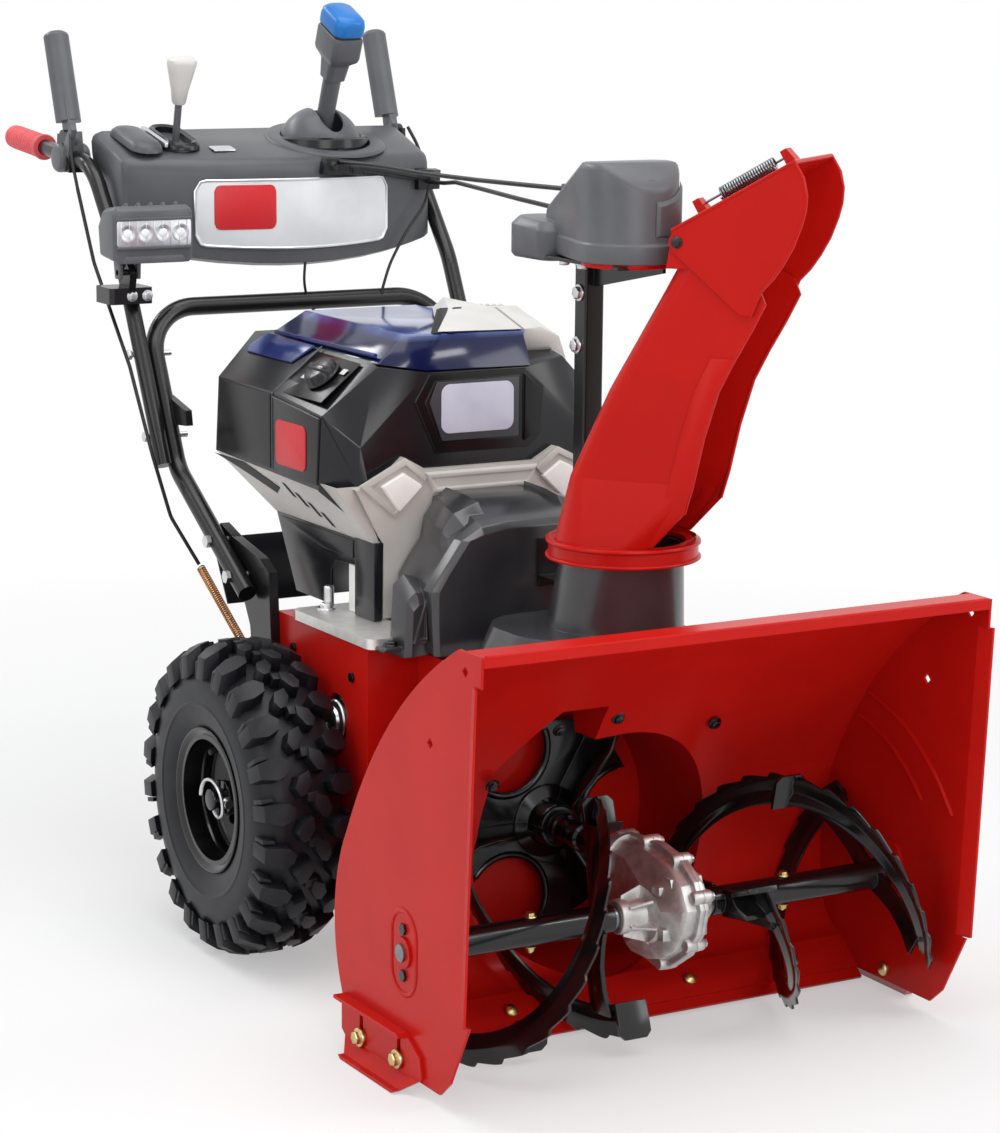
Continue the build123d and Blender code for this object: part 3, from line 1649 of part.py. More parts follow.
def stick_plane(reach):
    """Plane square to the stick at a distance from the dome's centre."""
    spot = Vector(dome_x, dome_y, dome_z) + stick_lean * reach
    return Plane(origin=spot, x_dir=(1, 0, -stick_lean.X / stick_lean.Z), z_dir=stick_lean)


def joystick():
    """Control stick: ball on its cross pin, tapering stem and a boxy head."""
    with BuildPart() as stick:
        with Locations((dome_x, dome_y, dome_z)):
            Sphere(20)
        pin_half = dome_r - dome_wall / 2
        add(rod((dome_x - pin_half, dome_y, dome_z), (dome_x + pin_half, dome_y, dome_z), trunnion_r))
        with BuildSketch(stick_plane(0)):
            Circle(12)
        with BuildSketch(stick_plane(135)):
            Circle(13)
        loft()
        with BuildSketch(stick_plane(112)):
            RectangleRounded(30, 30, 8)
        with BuildSketch(stick_plane(stick_reach)):
            RectangleRounded(40, 62, 12)
        loft()
        with BuildSketch(stick_plane(stick_reach)):
            Circle(trigger_stem_r + running)
        extrude(amount=-30, mode=Mode.SUBTRACT)
    return stick


def trigger():
    """Thumb paddle on top of the stick's head."""
    with BuildPart() as paddle_part:
        with BuildSketch(stick_plane(stick_reach)):
            Circle(trigger_stem_r)
        extrude(amount=-20)
        with BuildSketch(stick_plane(stick_reach)):
            Circle(trigger_stem_r)
        extrude(amount=trigger_travel + 1)
        with BuildSketch(stick_plane(stick_reach + trigger_travel)):
            RectangleRounded(34, 60, 12)
        with BuildSketch(stick_plane(stick_reach + 13)):
            RectangleRounded(26, 46, 10)
        loft()
    return paddle_part


speed_lean = Vector(0, -21, 93).normalized()


def speed_plane(reach):
    spot = Vector(speed_x, speed_y, speed_z) + speed_lean * reach
    return Plane(origin=spot, x_dir=(1, 0, 0), z_dir=speed_lean)


def speed_lever():
    """Speed selector: hub on its pin, flat stem and a tapered knob."""
    with BuildPart() as handle:
        with BuildSketch(across(speed_x - 7)):
            with Locations((speed_y, speed_z)):
                Circle(15)
        extrude(amount=14)
        add(rod((speed_x, speed_y, speed_z), tuple(speed_plane(110).origin), 5))
        with BuildSketch(speed_plane(96)):
            RectangleRounded(20, 18, 6)
        with BuildSketch(speed_plane(156)):
            RectangleRounded(42, 22, 8)
        loft()
        pin_start = (speed_x - 20, speed_y, speed_z)
        pin_end = (speed_x + 20, speed_y, speed_z)
        add(rod(pin_start, pin_end, speed_pin_r + running), mode=Mode.SUBTRACT)
    return handle


# ---- Cables, springs and work light ------------------------------------------------------

cable_r = 3.0


def chute_cables():
    """Two sheathed cables from the console to the chute's turning gear."""
    routes = (
        ((60, 356.7, 966), (64, 240, 968), (62, 100, 966), (52, -60, 968), (38, -220, 972), (30, -337.7, 975)),
        (
            (226, 399.4, 932), (214, 320, 935), (160, 190, 946), (104, 20, 950), (62, -150, 950),
            (36, -290, 949), (24, -337.7, 949),
        ),
    )
    with BuildPart() as cables:
        for route in routes:
            add(tube_path(route, [60] * (len(route) - 2), cable_r))
    return cables


def clutch_cables():
    """Clutch cable of each hand lever, down to its spring at the frame."""
    route = (
        (-272, 480, 930), (-271, 428, 833), (-271, 309, 704), (-270, 240, 595), (-248, 231, 510),
        (-216, 212, 446),
    )
    with BuildPart() as pair:
        add(both_sides(tube_path(route, [50] * (len(route) - 2), 2.5)))
    return pair


def cable_springs():
    """Return spring at the lower end of each clutch cable."""
    with BuildPart() as pair:
        add(both_sides(spring_body((-214.5, 211, 442.5), (-201.4, 97, 352), 5, 1.2, 30)))
    return pair


lamp_pivot_y = 322.0
lamp_pivot_z = 829.0


def lamp_bracket():
    """Clamp on the left handle tube with an upright ear for the work light."""
    tube_low = (-tube_x, tube_points[0][0], tube_points[0][1])
    tube_high = (-tube_x, tube_points[1][0], tube_points[1][1])
    with BuildPart() as clamp:
        with BuildSketch(level(786)):
            with Locations((-262, 346)):
                RectangleRounded(62, 54, 6)
        extrude(amount=22)
        with BuildSketch(across(-268)):
            Polygon((320, 790), (310, 829), (322, 841), (334, 829), (350, 806), align=None)
        extrude(amount=10)
        add(rod((-276, lamp_pivot_y, lamp_pivot_z), (-250, lamp_pivot_y, lamp_pivot_z), 4))
        add(rod(tube_low, tube_high, tube_r + running), mode=Mode.SUBTRACT)
    return clamp


def lamp_body():
    """Work light housing with its lens face towards the front."""
    with BuildPart() as lamp:
        with BuildSketch(across(lamp_left_x)):
            Polygon((300, 842), (300, 912), (308, 918), (340, 914), (358, 890), (352, 848), align=None)
        extrude(amount=lamp_width)
        with BuildSketch(facing(302)):
            with Locations((lamp_left_x + lamp_width / 2, 883)):
                Rectangle(lamp_width - 16, 36)
        extrude(amount=4, mode=Mode.SUBTRACT)
        for x in (-282, -256):
            with BuildSketch(across(x)):
                Polygon((312, 850), (314, 822), (330, 822), (336, 850), align=None)
                with Locations((lamp_pivot_y, lamp_pivot_z)):
                    Circle(4 + running, mode=Mode.SUBTRACT)
            extrude(amount=5)
    return lamp


# ---- Saving the sub-parts ----------------------------------------------------------------

def mirrored(builder):
    """Mirror image of a left-hand sub-part."""
    with BuildPart() as twin:
        mirror(builder.part, about=Plane.YZ)
    return twin


def auger_bearings():
    with BuildPart() as pair:
        add(both_sides(auger_bearing()))
    return pair


left_plate = side_plate()
left_shoe = skid_shoe()
left_lever = lever()

save(housing_wrapper(), "housing_wrapper")
save(left_plate, "side_plate_left")
save(mirrored(left_plate), "side_plate_right")
save(drum_shell(), "impeller_drum")
save(discharge_neck(), "discharge_neck")
save(scraper_holes(scraper_blade().part), "scraper_blade")
save(housing_bolts(), "housing_bolts")
save(black_bolts(), "black_bolts")
save(left_shoe, "skid_shoe_left")
save(mirrored(left_shoe), "skid_shoe_right")
save(auger_bearings(), "auger_bearings")
save(case_half_part(Keep.BOTTOM), "gear_case")
save(case_half_part(Keep.TOP), "gear_case_cover")
save(auger_shaft(), "auger_shaft")
save(auger(-1, left_auger_phase), "auger_left")
save(auger(1, right_auger_phase), "auger_right")
save(shear_bolts(), "shear_bolts")
save(impeller(), "impeller")
save(impeller_shaft(), "impeller_shaft")
save(impeller_pulley(), "impeller_pulley")
save(motor_pulley(), "motor_pulley")
save(drive_belt(), "drive_belt")
save(motor(), "motor")
save(tractor_frame(), "tractor_frame")
save(axle_bearings(), "axle_bearings")
save(tyre(-1), "tyre_left")
save(tyre(1), "tyre_right")
save(rim(-1), "rim_left")
save(rim(1), "rim_right")
save(base_plate(), "base_plate")
save(belt_cover(), "belt_cover")
save(motor_shroud(), "motor_shroud")
save(silver_trim(), "silver_trim")
save(power_housing(), "power_housing")
save(battery_packs(), "battery_packs")
save(battery_lid(), "battery_lid")
save(vent_cover(), "vent_cover")
save(dial(), "dial")
save(chute(), "chute")
save(deflector(), "deflector")
save(deflector_spring(), "deflector_spring")
save(chute_post(), "chute_post")
save(chute_head_cover(), "chute_head_cover")
save(lower_handle(), "lower_handle")
save(handle_brackets(), "handle_brackets")
save(upper_handles(), "upper_handles")
save(handle_bolts(), "handle_bolts")
save(grips(), "grips")
save(left_lever, "lever_left")
save(mirrored(left_lever), "lever_right")
save(console(), "console")
save(joystick_dome(), "joystick_dome")
save(joystick(), "joystick")
save(trigger(), "trigger")
save(speed_lever(), "speed_lever")
save(chute_cables(), "chute_cables")
save(clutch_cables(), "clutch_cables")
save(cable_springs(), "cable_springs")
save(lamp_bracket(), "lamp_bracket")
save(lamp_body(), "lamp_body")
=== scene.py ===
"""A two stage snowblower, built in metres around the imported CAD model."""

from math import cos, hypot, pi, radians, sin, tau

import bmesh
import bpy
from mathutils import Matrix, Vector


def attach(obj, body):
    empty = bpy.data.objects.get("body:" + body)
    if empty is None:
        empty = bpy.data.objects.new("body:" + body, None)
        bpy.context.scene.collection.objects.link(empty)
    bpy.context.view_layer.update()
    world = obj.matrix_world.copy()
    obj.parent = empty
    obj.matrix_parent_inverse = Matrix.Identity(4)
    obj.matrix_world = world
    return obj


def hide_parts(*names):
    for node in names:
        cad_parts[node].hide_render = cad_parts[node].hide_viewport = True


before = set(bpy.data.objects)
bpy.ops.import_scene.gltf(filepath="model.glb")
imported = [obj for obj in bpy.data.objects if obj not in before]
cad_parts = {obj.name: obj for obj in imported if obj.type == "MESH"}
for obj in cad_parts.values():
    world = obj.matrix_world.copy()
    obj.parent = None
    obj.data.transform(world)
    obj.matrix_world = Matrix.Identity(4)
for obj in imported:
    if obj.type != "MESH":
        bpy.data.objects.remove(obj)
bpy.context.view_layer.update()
MM = 0.001


# ---- Camera, floor and light -------------------------------------------------------------

CAMERA_PLACE = Vector((-1.9197, -3.5537, 1.2452))
CAMERA_TURN = radians(29.93)
CAMERA_DIP = radians(10.98)
CAMERA_ROLL = radians(0.56)
LENS_MM = 99.57


def make_camera():
    """Long lens from the front left, a little above the handlebar."""
    ahead = Vector((
        sin(CAMERA_TURN) * cos(CAMERA_DIP), cos(CAMERA_TURN) * cos(CAMERA_DIP), -sin(CAMERA_DIP),
    ))
    level = Vector((cos(CAMERA_TURN), -sin(CAMERA_TURN), 0))
    upright = level.cross(ahead)
    right = level * cos(CAMERA_ROLL) + upright * sin(CAMERA_ROLL)
    top = upright * cos(CAMERA_ROLL) - level * sin(CAMERA_ROLL)
    lens = bpy.data.cameras.new("camera")
    lens.sensor_width = 36
    lens.lens = LENS_MM
    lens.clip_end = 60
    camera = bpy.data.objects.new("camera", lens)
    bpy.context.scene.collection.objects.link(camera)
    turn = Matrix((right, top, -ahead)).transposed().to_4x4()
    camera.matrix_world = Matrix.Translation(CAMERA_PLACE) @ turn
    bpy.context.scene.camera = camera


def linear(hex_colour):
    """Linear RGBA of an sRGB hex colour."""
    channels = [int(hex_colour[i:i + 2], 16) / 255 for i in (1, 3, 5)]
    curve = [c / 12.92 if c <= 0.04045 else ((c + 0.055) / 1.055) ** 2.4 for c in channels]
    return (*curve, 1.0)


def add_node(tree, kind, settings=None, links=None):
    """A node with its settings, and with links from other sockets into its inputs."""
    node = tree.nodes.new(kind)
    for key, value in (settings or {}).items():
        if isinstance(key, str) and hasattr(node, key):
            setattr(node, key, value)
        else:
            node.inputs[key].default_value = value
    for key, source in (links or {}).items():
        tree.links.new(source, node.inputs[key])
    return node


def new_material(name):
    """Empty material, its node tree and its output node."""
    material = bpy.data.materials.new(name)
    material.use_nodes = True
    tree = material.node_tree
    tree.nodes.clear()
    output = add_node(tree, "ShaderNodeOutputMaterial")
    return material, tree, output


FLOOR_REACH = 14.0
FLOOR_DROP = 0.0005
SHADOW_FADE_START, SHADOW_FADE_END = 1.1, 2.4
WHITE = (1, 1, 1, 1)


def background_rays(tree):
    """1 for rays that show the background: the camera's, and those off a gloss or through glass."""
    path = add_node(tree, "ShaderNodeLightPath")
    straight = add_node(
        tree, "ShaderNodeMath", {"operation": "MAXIMUM"},
        {0: path.outputs["Is Camera Ray"], 1: path.outputs["Is Transmission Ray"]},
    )
    return add_node(
        tree, "ShaderNodeMath", {"operation": "MAXIMUM"},
        {0: straight.outputs[0], 1: path.outputs["Is Glossy Ray"]},
    )


def make_floor():
    """Plain pale floor: shadow near the object, background white farther off, without a line."""
    material, tree, output = new_material("studio_floor_paper")
    paper = add_node(tree, "ShaderNodeBsdfDiffuse", {"Color": linear("#F4F4F4")})
    card = add_node(tree, "ShaderNodeBsdfDiffuse", {"Color": linear("#B4B4B4")})
    glow = add_node(tree, "ShaderNodeEmission", {"Color": WHITE, "Strength": 0.42})
    lifted = add_node(tree, "ShaderNodeAddShader", None, {0: card.outputs[0], 1: glow.outputs[0]})
    bright = add_node(tree, "ShaderNodeEmission", {"Color": WHITE, "Strength": 1.0})
    place = add_node(tree, "ShaderNodeTexCoord")
    reach = add_node(tree, "ShaderNodeVectorMath", {"operation": "LENGTH"}, {0: place.outputs["Object"]})
    away = add_node(
        tree, "ShaderNodeMapRange", {"From Min": SHADOW_FADE_START, "From Max": SHADOW_FADE_END},
        {"Value": reach.outputs["Value"]},
    )
    ground = add_node(
        tree, "ShaderNodeMixShader", None,
        {0: away.outputs[0], 1: lifted.outputs[0], 2: bright.outputs[0]},
    )
    mix = add_node(
        tree, "ShaderNodeMixShader", None,
        {0: background_rays(tree).outputs[0], 1: paper.outputs[0], 2: ground.outputs[0]},
    )
    tree.links.new(mix.outputs[0], output.inputs["Surface"])
    mesh = bpy.data.meshes.new("studio_floor")
    corners = [(-1, -1), (1, -1), (1, 1), (-1, 1)]
    mesh.from_pydata([(x * FLOOR_REACH, y * FLOOR_REACH, -FLOOR_DROP) for x, y in corners], [],
                     [(0, 1, 2, 3)])
    mesh.materials.append(material)
    floor = bpy.data.objects.new("studio_floor", mesh)
    bpy.context.scene.collection.objects.link(floor)


def make_world():
    """Even soft daylight on the object, and plain white for the rays that show the background."""
    world = bpy.data.worlds.new("studio")
    bpy.context.scene.world = world
    world.use_nodes = True
    tree = world.node_tree
    tree.nodes.clear()
    soft = add_node(tree, "ShaderNodeBackground", {"Color": linear("#EDEFF2"), "Strength": 0.5})
    white = add_node(tree, "ShaderNodeBackground", {"Color": WHITE, "Strength": 1.0})
    mix = add_node(
        tree, "ShaderNodeMixShader", None,
        {0: background_rays(tree).outputs[0], 1: soft.outputs[0], 2: white.outputs[0]},
    )
    output = add_node(tree, "ShaderNodeOutputWorld")
    tree.links.new(mix.outputs[0], output.inputs["Surface"])


def add_lamp(name, place, target, width, height, watts):
    """Rectangular softbox aimed at a point."""
    light = bpy.data.lights.new(name, "AREA")
    light.shape = "RECTANGLE"
    light.size = width
    light.size_y = height
    light.energy = watts
    lamp = bpy.data.objects.new(name, light)
    bpy.context.scene.collection.objects.link(lamp)
    aim = Vector(target) - Vector(place)
    lamp.matrix_world = Matrix.Translation(place) @ aim.to_track_quat("-Z", "Y").to_matrix().to_4x4()


def make_lights():
    """Four softboxes for the body of the light and two strips for the glints along edges."""
    for name, place, width, height, watts in (
        ("overhead_softbox", (-0.3, -0.6, 4.2), 3.6, 3.6, 120),
        ("left_softbox", (-4.2, -1.4, 2.4), 2.2, 2.6, 32),
        ("right_softbox", (3.6, -3.2, 2.4), 1.8, 2.6, 52),
        ("front_softbox", (-1.2, -5.2, 2.0), 2.6, 1.6, 44),
        ("back_strip", (-1.6, 2.8, 3.0), 2.8, 0.35, 34),
        ("front_strip", (1.2, -3.4, 3.6), 2.4, 0.3, 26),
    ):
        add_lamp(name, place, (0, 0, 0.5), width, height, watts)


make_camera()
make_world()
make_floor()
make_lights()
bpy.context.scene.view_settings.view_transform = "Standard"


# ---- Materials ---------------------------------------------------------------------------

def principled(tree, output, colour, roughness, metallic=0.0, ior=1.5, **more):
    """Principled shader wired to the output, with constants set on its own sockets."""
    settings = {"Base Color": linear(colour), "Roughness": roughness, "Metallic": metallic, "IOR": ior}
    settings.update(more)
    shader = add_node(tree, "ShaderNodeBsdfPrincipled", settings)
    tree.links.new(shader.outputs[0], output.inputs["Surface"])
    return shader


def bump_from(tree, shader, height, depth_mm, strength, edge_mm=0.0):
    """Surface relief from a height, over edges rounded off by the given millimetres."""
    links = {"Height": height}
    if edge_mm:
        edge = add_node(tree, "ShaderNodeBevel", {"samples": 4, "Radius": edge_mm * MM})
        links["Normal"] = edge.outputs[0]
    bump = add_node(tree, "ShaderNodeBump", {"Distance": depth_mm * MM, "Strength": strength}, links)
    tree.links.new(bump.outputs[0], shader.inputs["Normal"])


def grain(tree, size_mm, detail=2.0):
    """Noise over the object whose lumps are about the given size."""
    place = add_node(tree, "ShaderNodeTexCoord")
    return add_node(
        tree, "ShaderNodeTexNoise", {"Scale": 1000 / size_mm, "Detail": detail},
        {"Vector": place.outputs["Object"]},
    )


def shade_ramp(tree, noise, shades):
    """Colour ramp over a noise from (position, hex colour) shades."""
    ramp = add_node(tree, "ShaderNodeValToRGB", None, {"Fac": noise.outputs["Fac"]})
    for spot, _ in shades[2:]:
        ramp.color_ramp.elements.new(spot)
    for element, (spot, shade) in zip(ramp.color_ramp.elements, shades):
        element.position = spot
        element.color = linear(shade)
    return ramp.outputs["Color"]


def mottle(tree, shader, colour, other, size_mm):
    """Slow drift between two close shades, as real paint and plastic show."""
    shades = shade_ramp(tree, grain(tree, size_mm, 3.0), ((0.35, colour), (0.65, other)))
    tree.links.new(shades, shader.inputs["Base Color"])


# Moulded and coated edges catch the light as if rounded off by this much.
EDGE_ROUNDING_MM = 1.2


def powder_coat(name, colour, other, roughness, gloss):
    """Powder-coated steel: even colour under a gloss with a faint orange peel about 2 mm wide."""
    material, tree, output = new_material(name)
    shader = principled(tree, output, colour, roughness, **{"Specular IOR Level": gloss})
    mottle(tree, shader, colour, other, 90)
    bump_from(tree, shader, grain(tree, 2.2).outputs["Fac"], 0.02, 0.35, EDGE_ROUNDING_MM)
    return material


def moulded_plastic(name, colour, other, roughness, grain_mm=0.9, depth_mm=0.05, gloss=0.28):
    """Injection-moulded plastic: fine spark-eroded grain that spreads the highlight. A real grain
    is about 0.1 mm wide; it is drawn coarser here so that it shows."""
    material, tree, output = new_material(name)
    shader = principled(tree, output, colour, roughness, ior=1.53, **{"Specular IOR Level": gloss})
    mottle(tree, shader, colour, other, 60)
    bump_from(tree, shader, grain(tree, grain_mm).outputs["Fac"], depth_mm, 0.5, EDGE_ROUNDING_MM)
    return material


def bare_metal(name, colour, other, roughness, grain_mm, depth_mm):
    """Bare or plated metal with a soft drift of tone and a surface grain, drawn coarse enough
    to show."""
    material, tree, output = new_material(name)
    shader = principled(tree, output, colour, roughness, metallic=1.0)
    mottle(tree, shader, colour, other, 14)
    bump_from(tree, shader, grain(tree, grain_mm).outputs["Fac"], depth_mm, 0.6)
    return material


def soft_rubber(name, colour, other, roughness):
    """Moulded rubber: deep, dull and slightly dusty."""
    material, tree, output = new_material(name)
    shader = principled(tree, output, colour, roughness, ior=1.52, **{"Specular IOR Level": 0.25})
    mottle(tree, shader, colour, other, 25)
    bump_from(tree, shader, grain(tree, 1.2, 4.0).outputs["Fac"], 0.08, 0.6)
    return material


LID_PATCHES_PER_METRE = 11.0
# Heights over which the lid goes from its navy to the patches of painted light on its top.
LID_PAINTED_LIGHT_FROM, LID_PAINTED_LIGHT_ABOVE = 0.776, 0.79
MIX_LOWER_COLOUR, MIX_UPPER_COLOUR, MIX_COLOUR_OUT = 6, 7, 2


def tinted_lid(name):
    """Tinted polycarbonate over dark packs: navy low down; higher up, patches about 91 mm wide go
    from navy to pale blue and violet: painted light on and through the clear top."""
    material, tree, output = new_material(name)
    shader = principled(tree, output, "#1B2A78", 0.1, ior=1.58, **{"Specular IOR Level": 0.3})
    place = add_node(tree, "ShaderNodeTexCoord")
    noise = add_node(
        tree, "ShaderNodeTexNoise", {"Scale": LID_PATCHES_PER_METRE, "Detail": 1.5},
        {"Vector": place.outputs["Object"]},
    )
    # Painted light: patches from navy to pale blue and violet on the lid's top.
    painted_light_patches = shade_ramp(
        tree, noise, ((0.34, "#1B2A6C"), (0.46, "#35509C"), (0.56, "#7288BC"), (0.68, "#5C4E90")),
    )
    split = add_node(tree, "ShaderNodeSeparateXYZ", None, {0: place.outputs["Object"]})
    high = add_node(
        tree, "ShaderNodeMapRange", {"From Min": LID_PAINTED_LIGHT_FROM, "From Max": LID_PAINTED_LIGHT_ABOVE},
        {"Value": split.outputs["Z"]},
    )
    blend = add_node(
        tree, "ShaderNodeMix", {"data_type": "RGBA"}, {0: high.outputs[0], MIX_UPPER_COLOUR: painted_light_patches},
    )
    blend.inputs[MIX_LOWER_COLOUR].default_value = linear("#10163E")
    tree.links.new(blend.outputs[MIX_COLOUR_OUT], shader.inputs["Base Color"])
    bump_from(tree, shader, grain(tree, 30).outputs["Fac"], 0.02, 0.2)
    return material


# Powder-coated sheet steel: deep even red with a soft gloss.
RED = powder_coat("red_powder_coat", "#BE1710", "#B7150F", 0.26, 0.14)
# Gloss black powder coat of the rims and augers: wet-looking highlights on black.
BLACK_GLOSS = powder_coat("black_gloss_powder_coat", "#0B0B0C", "#111112", 0.17, 0.5)
# Satin black powder coat of the handle tubes: a calmer, wider sheen.
BLACK_SATIN = powder_coat("black_satin_powder_coat", "#111112", "#171718", 0.25, 0.4)
# Moulded black ABS of the power head: blue-black, with crisp but grainy highlights.
BLACK_ABS = moulded_plastic("black_moulded_abs", "#121317", "#18191D", 0.22, 0.9, 0.03, 0.34)
# Moulded mid-grey ABS: flat grey with a broad, dull highlight.
GREY_ABS = moulded_plastic("grey_moulded_abs", "#55565A", "#5D5E61", 0.34)
# Moulded charcoal ABS of the console: the same grain, one shade darker.
CONSOLE_ABS = moulded_plastic("console_moulded_abs", "#4A4B4E", "#515255", 0.36)
# Moulded pale grey ABS: warm light grey, nearly matt.
LIGHT_ABS = moulded_plastic("light_grey_moulded_abs", "#CFCDC9", "#C6C4C0", 0.4)
# Painted ABS, warm silver: finer than bare plastic and without a mirror's shine.
SILVER_ABS = moulded_plastic("silver_painted_abs", "#BEBAB5", "#C6C2BD", 0.3, 0.5, 0.02)
# Painted ABS, near white silver: the brightest plastic on the machine.
BRIGHT_ABS = moulded_plastic("bright_silver_painted_abs", "#F8F6F3", "#F1EFEC", 0.25, 0.5, 0.01)
# Moulded blue ABS of the thumb cap: clear mid blue with a soft highlight.
BLUE_ABS = moulded_plastic("blue_moulded_abs", "#1767B0", "#1D70BA", 0.28)
# Moulded soft rubber of the grips: coral, dull and a little dusty.
CORAL_RUBBER = soft_rubber("coral_grip_rubber", "#D9595E", "#D15257", 0.5)
# Vulcanised tyre rubber: near black with a faint blue cast.
TYRE_RUBBER = soft_rubber("tyre_rubber", "#121317", "#1A1B20", 0.42)
# Drive belt rubber: matt black.
BELT_RUBBER = soft_rubber("belt_rubber", "#151515", "#1D1D1D", 0.7)
# Extruded PVC cable sheath: black with a thin line of light.
CABLE_SHEATH = moulded_plastic("cable_sheath_pvc", "#101011", "#161617", 0.4)
# Yellow zinc plate: pale brass tone that drifts towards straw.
YELLOW_ZINC = bare_metal("yellow_zinc_plate", "#C9B06A", "#D8CDA4", 0.32, 0.8, 0.02)
# Bright zinc plate: cool light metal with a fine grain.
BRIGHT_ZINC = bare_metal("bright_zinc_plate", "#D8D9DB", "#CACCCF", 0.3, 0.8, 0.02)
# Cast aluminium: pale metal, broken up by a coarse casting skin.
CAST_ALUMINIUM = bare_metal("cast_aluminium", "#DAD9D7", "#BDBCBA", 0.52, 1.3, 0.2)
# Machined aluminium plate: pale and even, with a soft gleam.
PLATE_ALUMINIUM = bare_metal("machined_aluminium", "#E2E1DE", "#D8D7D4", 0.5, 0.5, 0.03)
# Turned steel: mid-grey metal with a fine tool grain.
STEEL = bare_metal("turned_steel", "#8E8F92", "#7C7D80", 0.3, 0.6, 0.02)
# Cast iron: dark, dull metal with a coarse skin.
IRON = bare_metal("cast_iron", "#3A3A3B", "#444445", 0.6, 1.4, 0.2)
# Copper-washed spring wire: warm orange-brown metal.
COPPER = bare_metal("copper_washed_spring_wire", "#B98048", "#C08C58", 0.3, 0.6, 0.02)
# Moulded rubber of the valve stems: dull dark grey.
VALVE_RUBBER = soft_rubber("valve_stem_rubber", "#1B1B1C", "#232324", 0.5)
# Black label film: smoother and deeper than the moulding round it.
BLACK_SHEET = moulded_plastic("black_panel_film", "#0D0D0F", "#121214", 0.22)
# Moulded black polypropylene of the covers: charcoal, lifted above the other blacks as painted sheen, under a
# wide, waxy gloss.
CHARCOAL_PAINTED_SHEEN = moulded_plastic("black_cover_polypropylene", "#2C2C2F", "#353538", 0.24, 0.9, 0.03, 0.6)
# Painted shade: near-black plastic standing for the shade inside slots, where almost no light comes back.
PAINTED_SHADE_BLACK = moulded_plastic("painted_shade_black_plastic", "#08080A", "#0C0C0E", 0.5)
# Dark blue window plastic: navy with a clear, sharp highlight.
BLUE_GLASS = moulded_plastic("dark_blue_window_plastic", "#18204F", "#2A3B7A", 0.12)
# Dark grey plastic round the display.
DISPLAY_GREY = moulded_plastic("display_surround_plastic", "#3A3B40", "#424348", 0.3)
# Smooth blank display pane: pale lilac grey with a clean highlight.
DISPLAY_PALE = moulded_plastic("blank_display_glass", "#B9BACB", "#C6C7D6", 0.16)
# Red badge film: flat bright red.
RED_BADGE = moulded_plastic("red_badge_film", "#C4252B", "#CB2B31", 0.3)
# Silver-white plastic plate: pale grey, lightly glossy.
PLATE_WHITE = moulded_plastic("silver_white_plate", "#DFE1E2", "#D3D6D8", 0.28)
# Moulded diode lens: white, with a sharp highlight.
DIODE_WHITE = moulded_plastic("diode_lens", "#F2F4F5", "#E6E9EB", 0.12)
# Blue-tinted polycarbonate of the lid: glassy, deep at the rim, with painted light in pale patches on top.
BLUE_CLEAR = tinted_lid("blue_tinted_polycarbonate")


# ---- Shaping helpers: every shape is given in millimetres --------------------------------

def add_piece(name, data, finish, body, slot, *cad_nodes):
    """Put a mesh or a curve in the scene, riding on a body and standing for CAD nodes."""
    data.materials.append(finish)
    obj = bpy.data.objects.new(name, data)
    bpy.context.scene.collection.objects.link(obj)
    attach(obj, body)
    if cad_nodes:
        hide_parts(*cad_nodes)
    return obj


WELD_MM = 0.01
SHADING_MARGIN = 8


def settle(name, forms, finish, body, slot, *cad_nodes, edge=0.0, crease=32):
    """Join forms into one piece, round the edges that fold by more than the crease's degrees
    by the given millimetres, and smooth it."""
    shape = bmesh.new()
    for corners, faces in forms:
        points = [shape.verts.new(Vector(c) * MM) for c in corners]
        for face in faces:
            if len(set(face)) > 2:
                try:
                    shape.faces.new([points[i] for i in face])
                except ValueError:
                    continue
    bmesh.ops.remove_doubles(shape, verts=shape.verts, dist=WELD_MM * MM)
    bmesh.ops.recalc_face_normals(shape, faces=shape.faces)
    if edge:
        sharp = [
            e for e in shape.edges if len(e.link_faces) == 2 and e.calc_face_angle(0) > radians(crease)
        ]
        bmesh.ops.bevel(
            shape, geom=sharp, offset=edge * MM, segments=2, profile=0.6, affect="EDGES",
            clamp_overlap=True,
        )
    mesh = bpy.data.meshes.new(name)
    shape.to_mesh(mesh)
    shape.free()
    mesh.shade_smooth()
    mesh.set_sharp_from_angle(angle=radians(crease + SHADING_MARGIN))
    return add_piece(name, mesh, finish, body, slot, *cad_nodes)


def loft(rings, closed=False, capped=True):
    """Skin over rings of equally many points; the ends are capped unless the rings close."""
    count = len(rings[0])
    corners = [tuple(point) for ring in rings for point in ring]
    faces = []
    turns = len(rings) if closed else len(rings) - 1
    for i in range(turns):
        low = i * count
        high = ((i + 1) % len(rings)) * count
        for j in range(count):
            after = (j + 1) % count
            faces.append((low + j, low + after, high + after, high + j))
    if capped and not closed:
        faces.append(tuple(reversed(range(count))))
        faces.append(tuple(range(len(corners) - count, len(corners))))
    return corners, faces


def lathe(profile, origin, axis, steps):
    """Solid of revolution from (along, radius) points about an axis through the origin."""
    axis = Vector(axis).normalized()
    side = axis.orthogonal().normalized()
    up = axis.cross(side)
    origin = Vector(origin)
    rings = []
    for i in range(steps):
        spin = side * cos(tau * i / steps) + up * sin(tau * i / steps)
        rings.append([origin + axis * along + spin * radius for along, radius in profile])
    return loft(rings, closed=True)


def prism(outline, origin, across, up, depth, taper=0.0):
    """Slab from a flat outline; depth runs along across x up, and taper shrinks the far face."""
    origin, across, up = Vector(origin), Vector(across).normalized(), Vector(up).normalized()
    out = across.cross(up)
    near = [origin + across * x + up * y for x, y in outline]
    if taper:
        mid_x = sum(x for x, _ in outline) / len(outline)
        mid_y = sum(y for _, y in outline) / len(outline)
        far_outline = []
        for x, y in outline:
            reach = max(hypot(x - mid_x, y - mid_y), 0.01)
            share = 1 - taper / reach
            far_outline.append((mid_x + (x - mid_x) * share, mid_y + (y - mid_y) * share))
    else:
        far_outline = outline
    far = [origin + across * x + up * y + out * depth for x, y in far_outline]
    return loft([near, far])


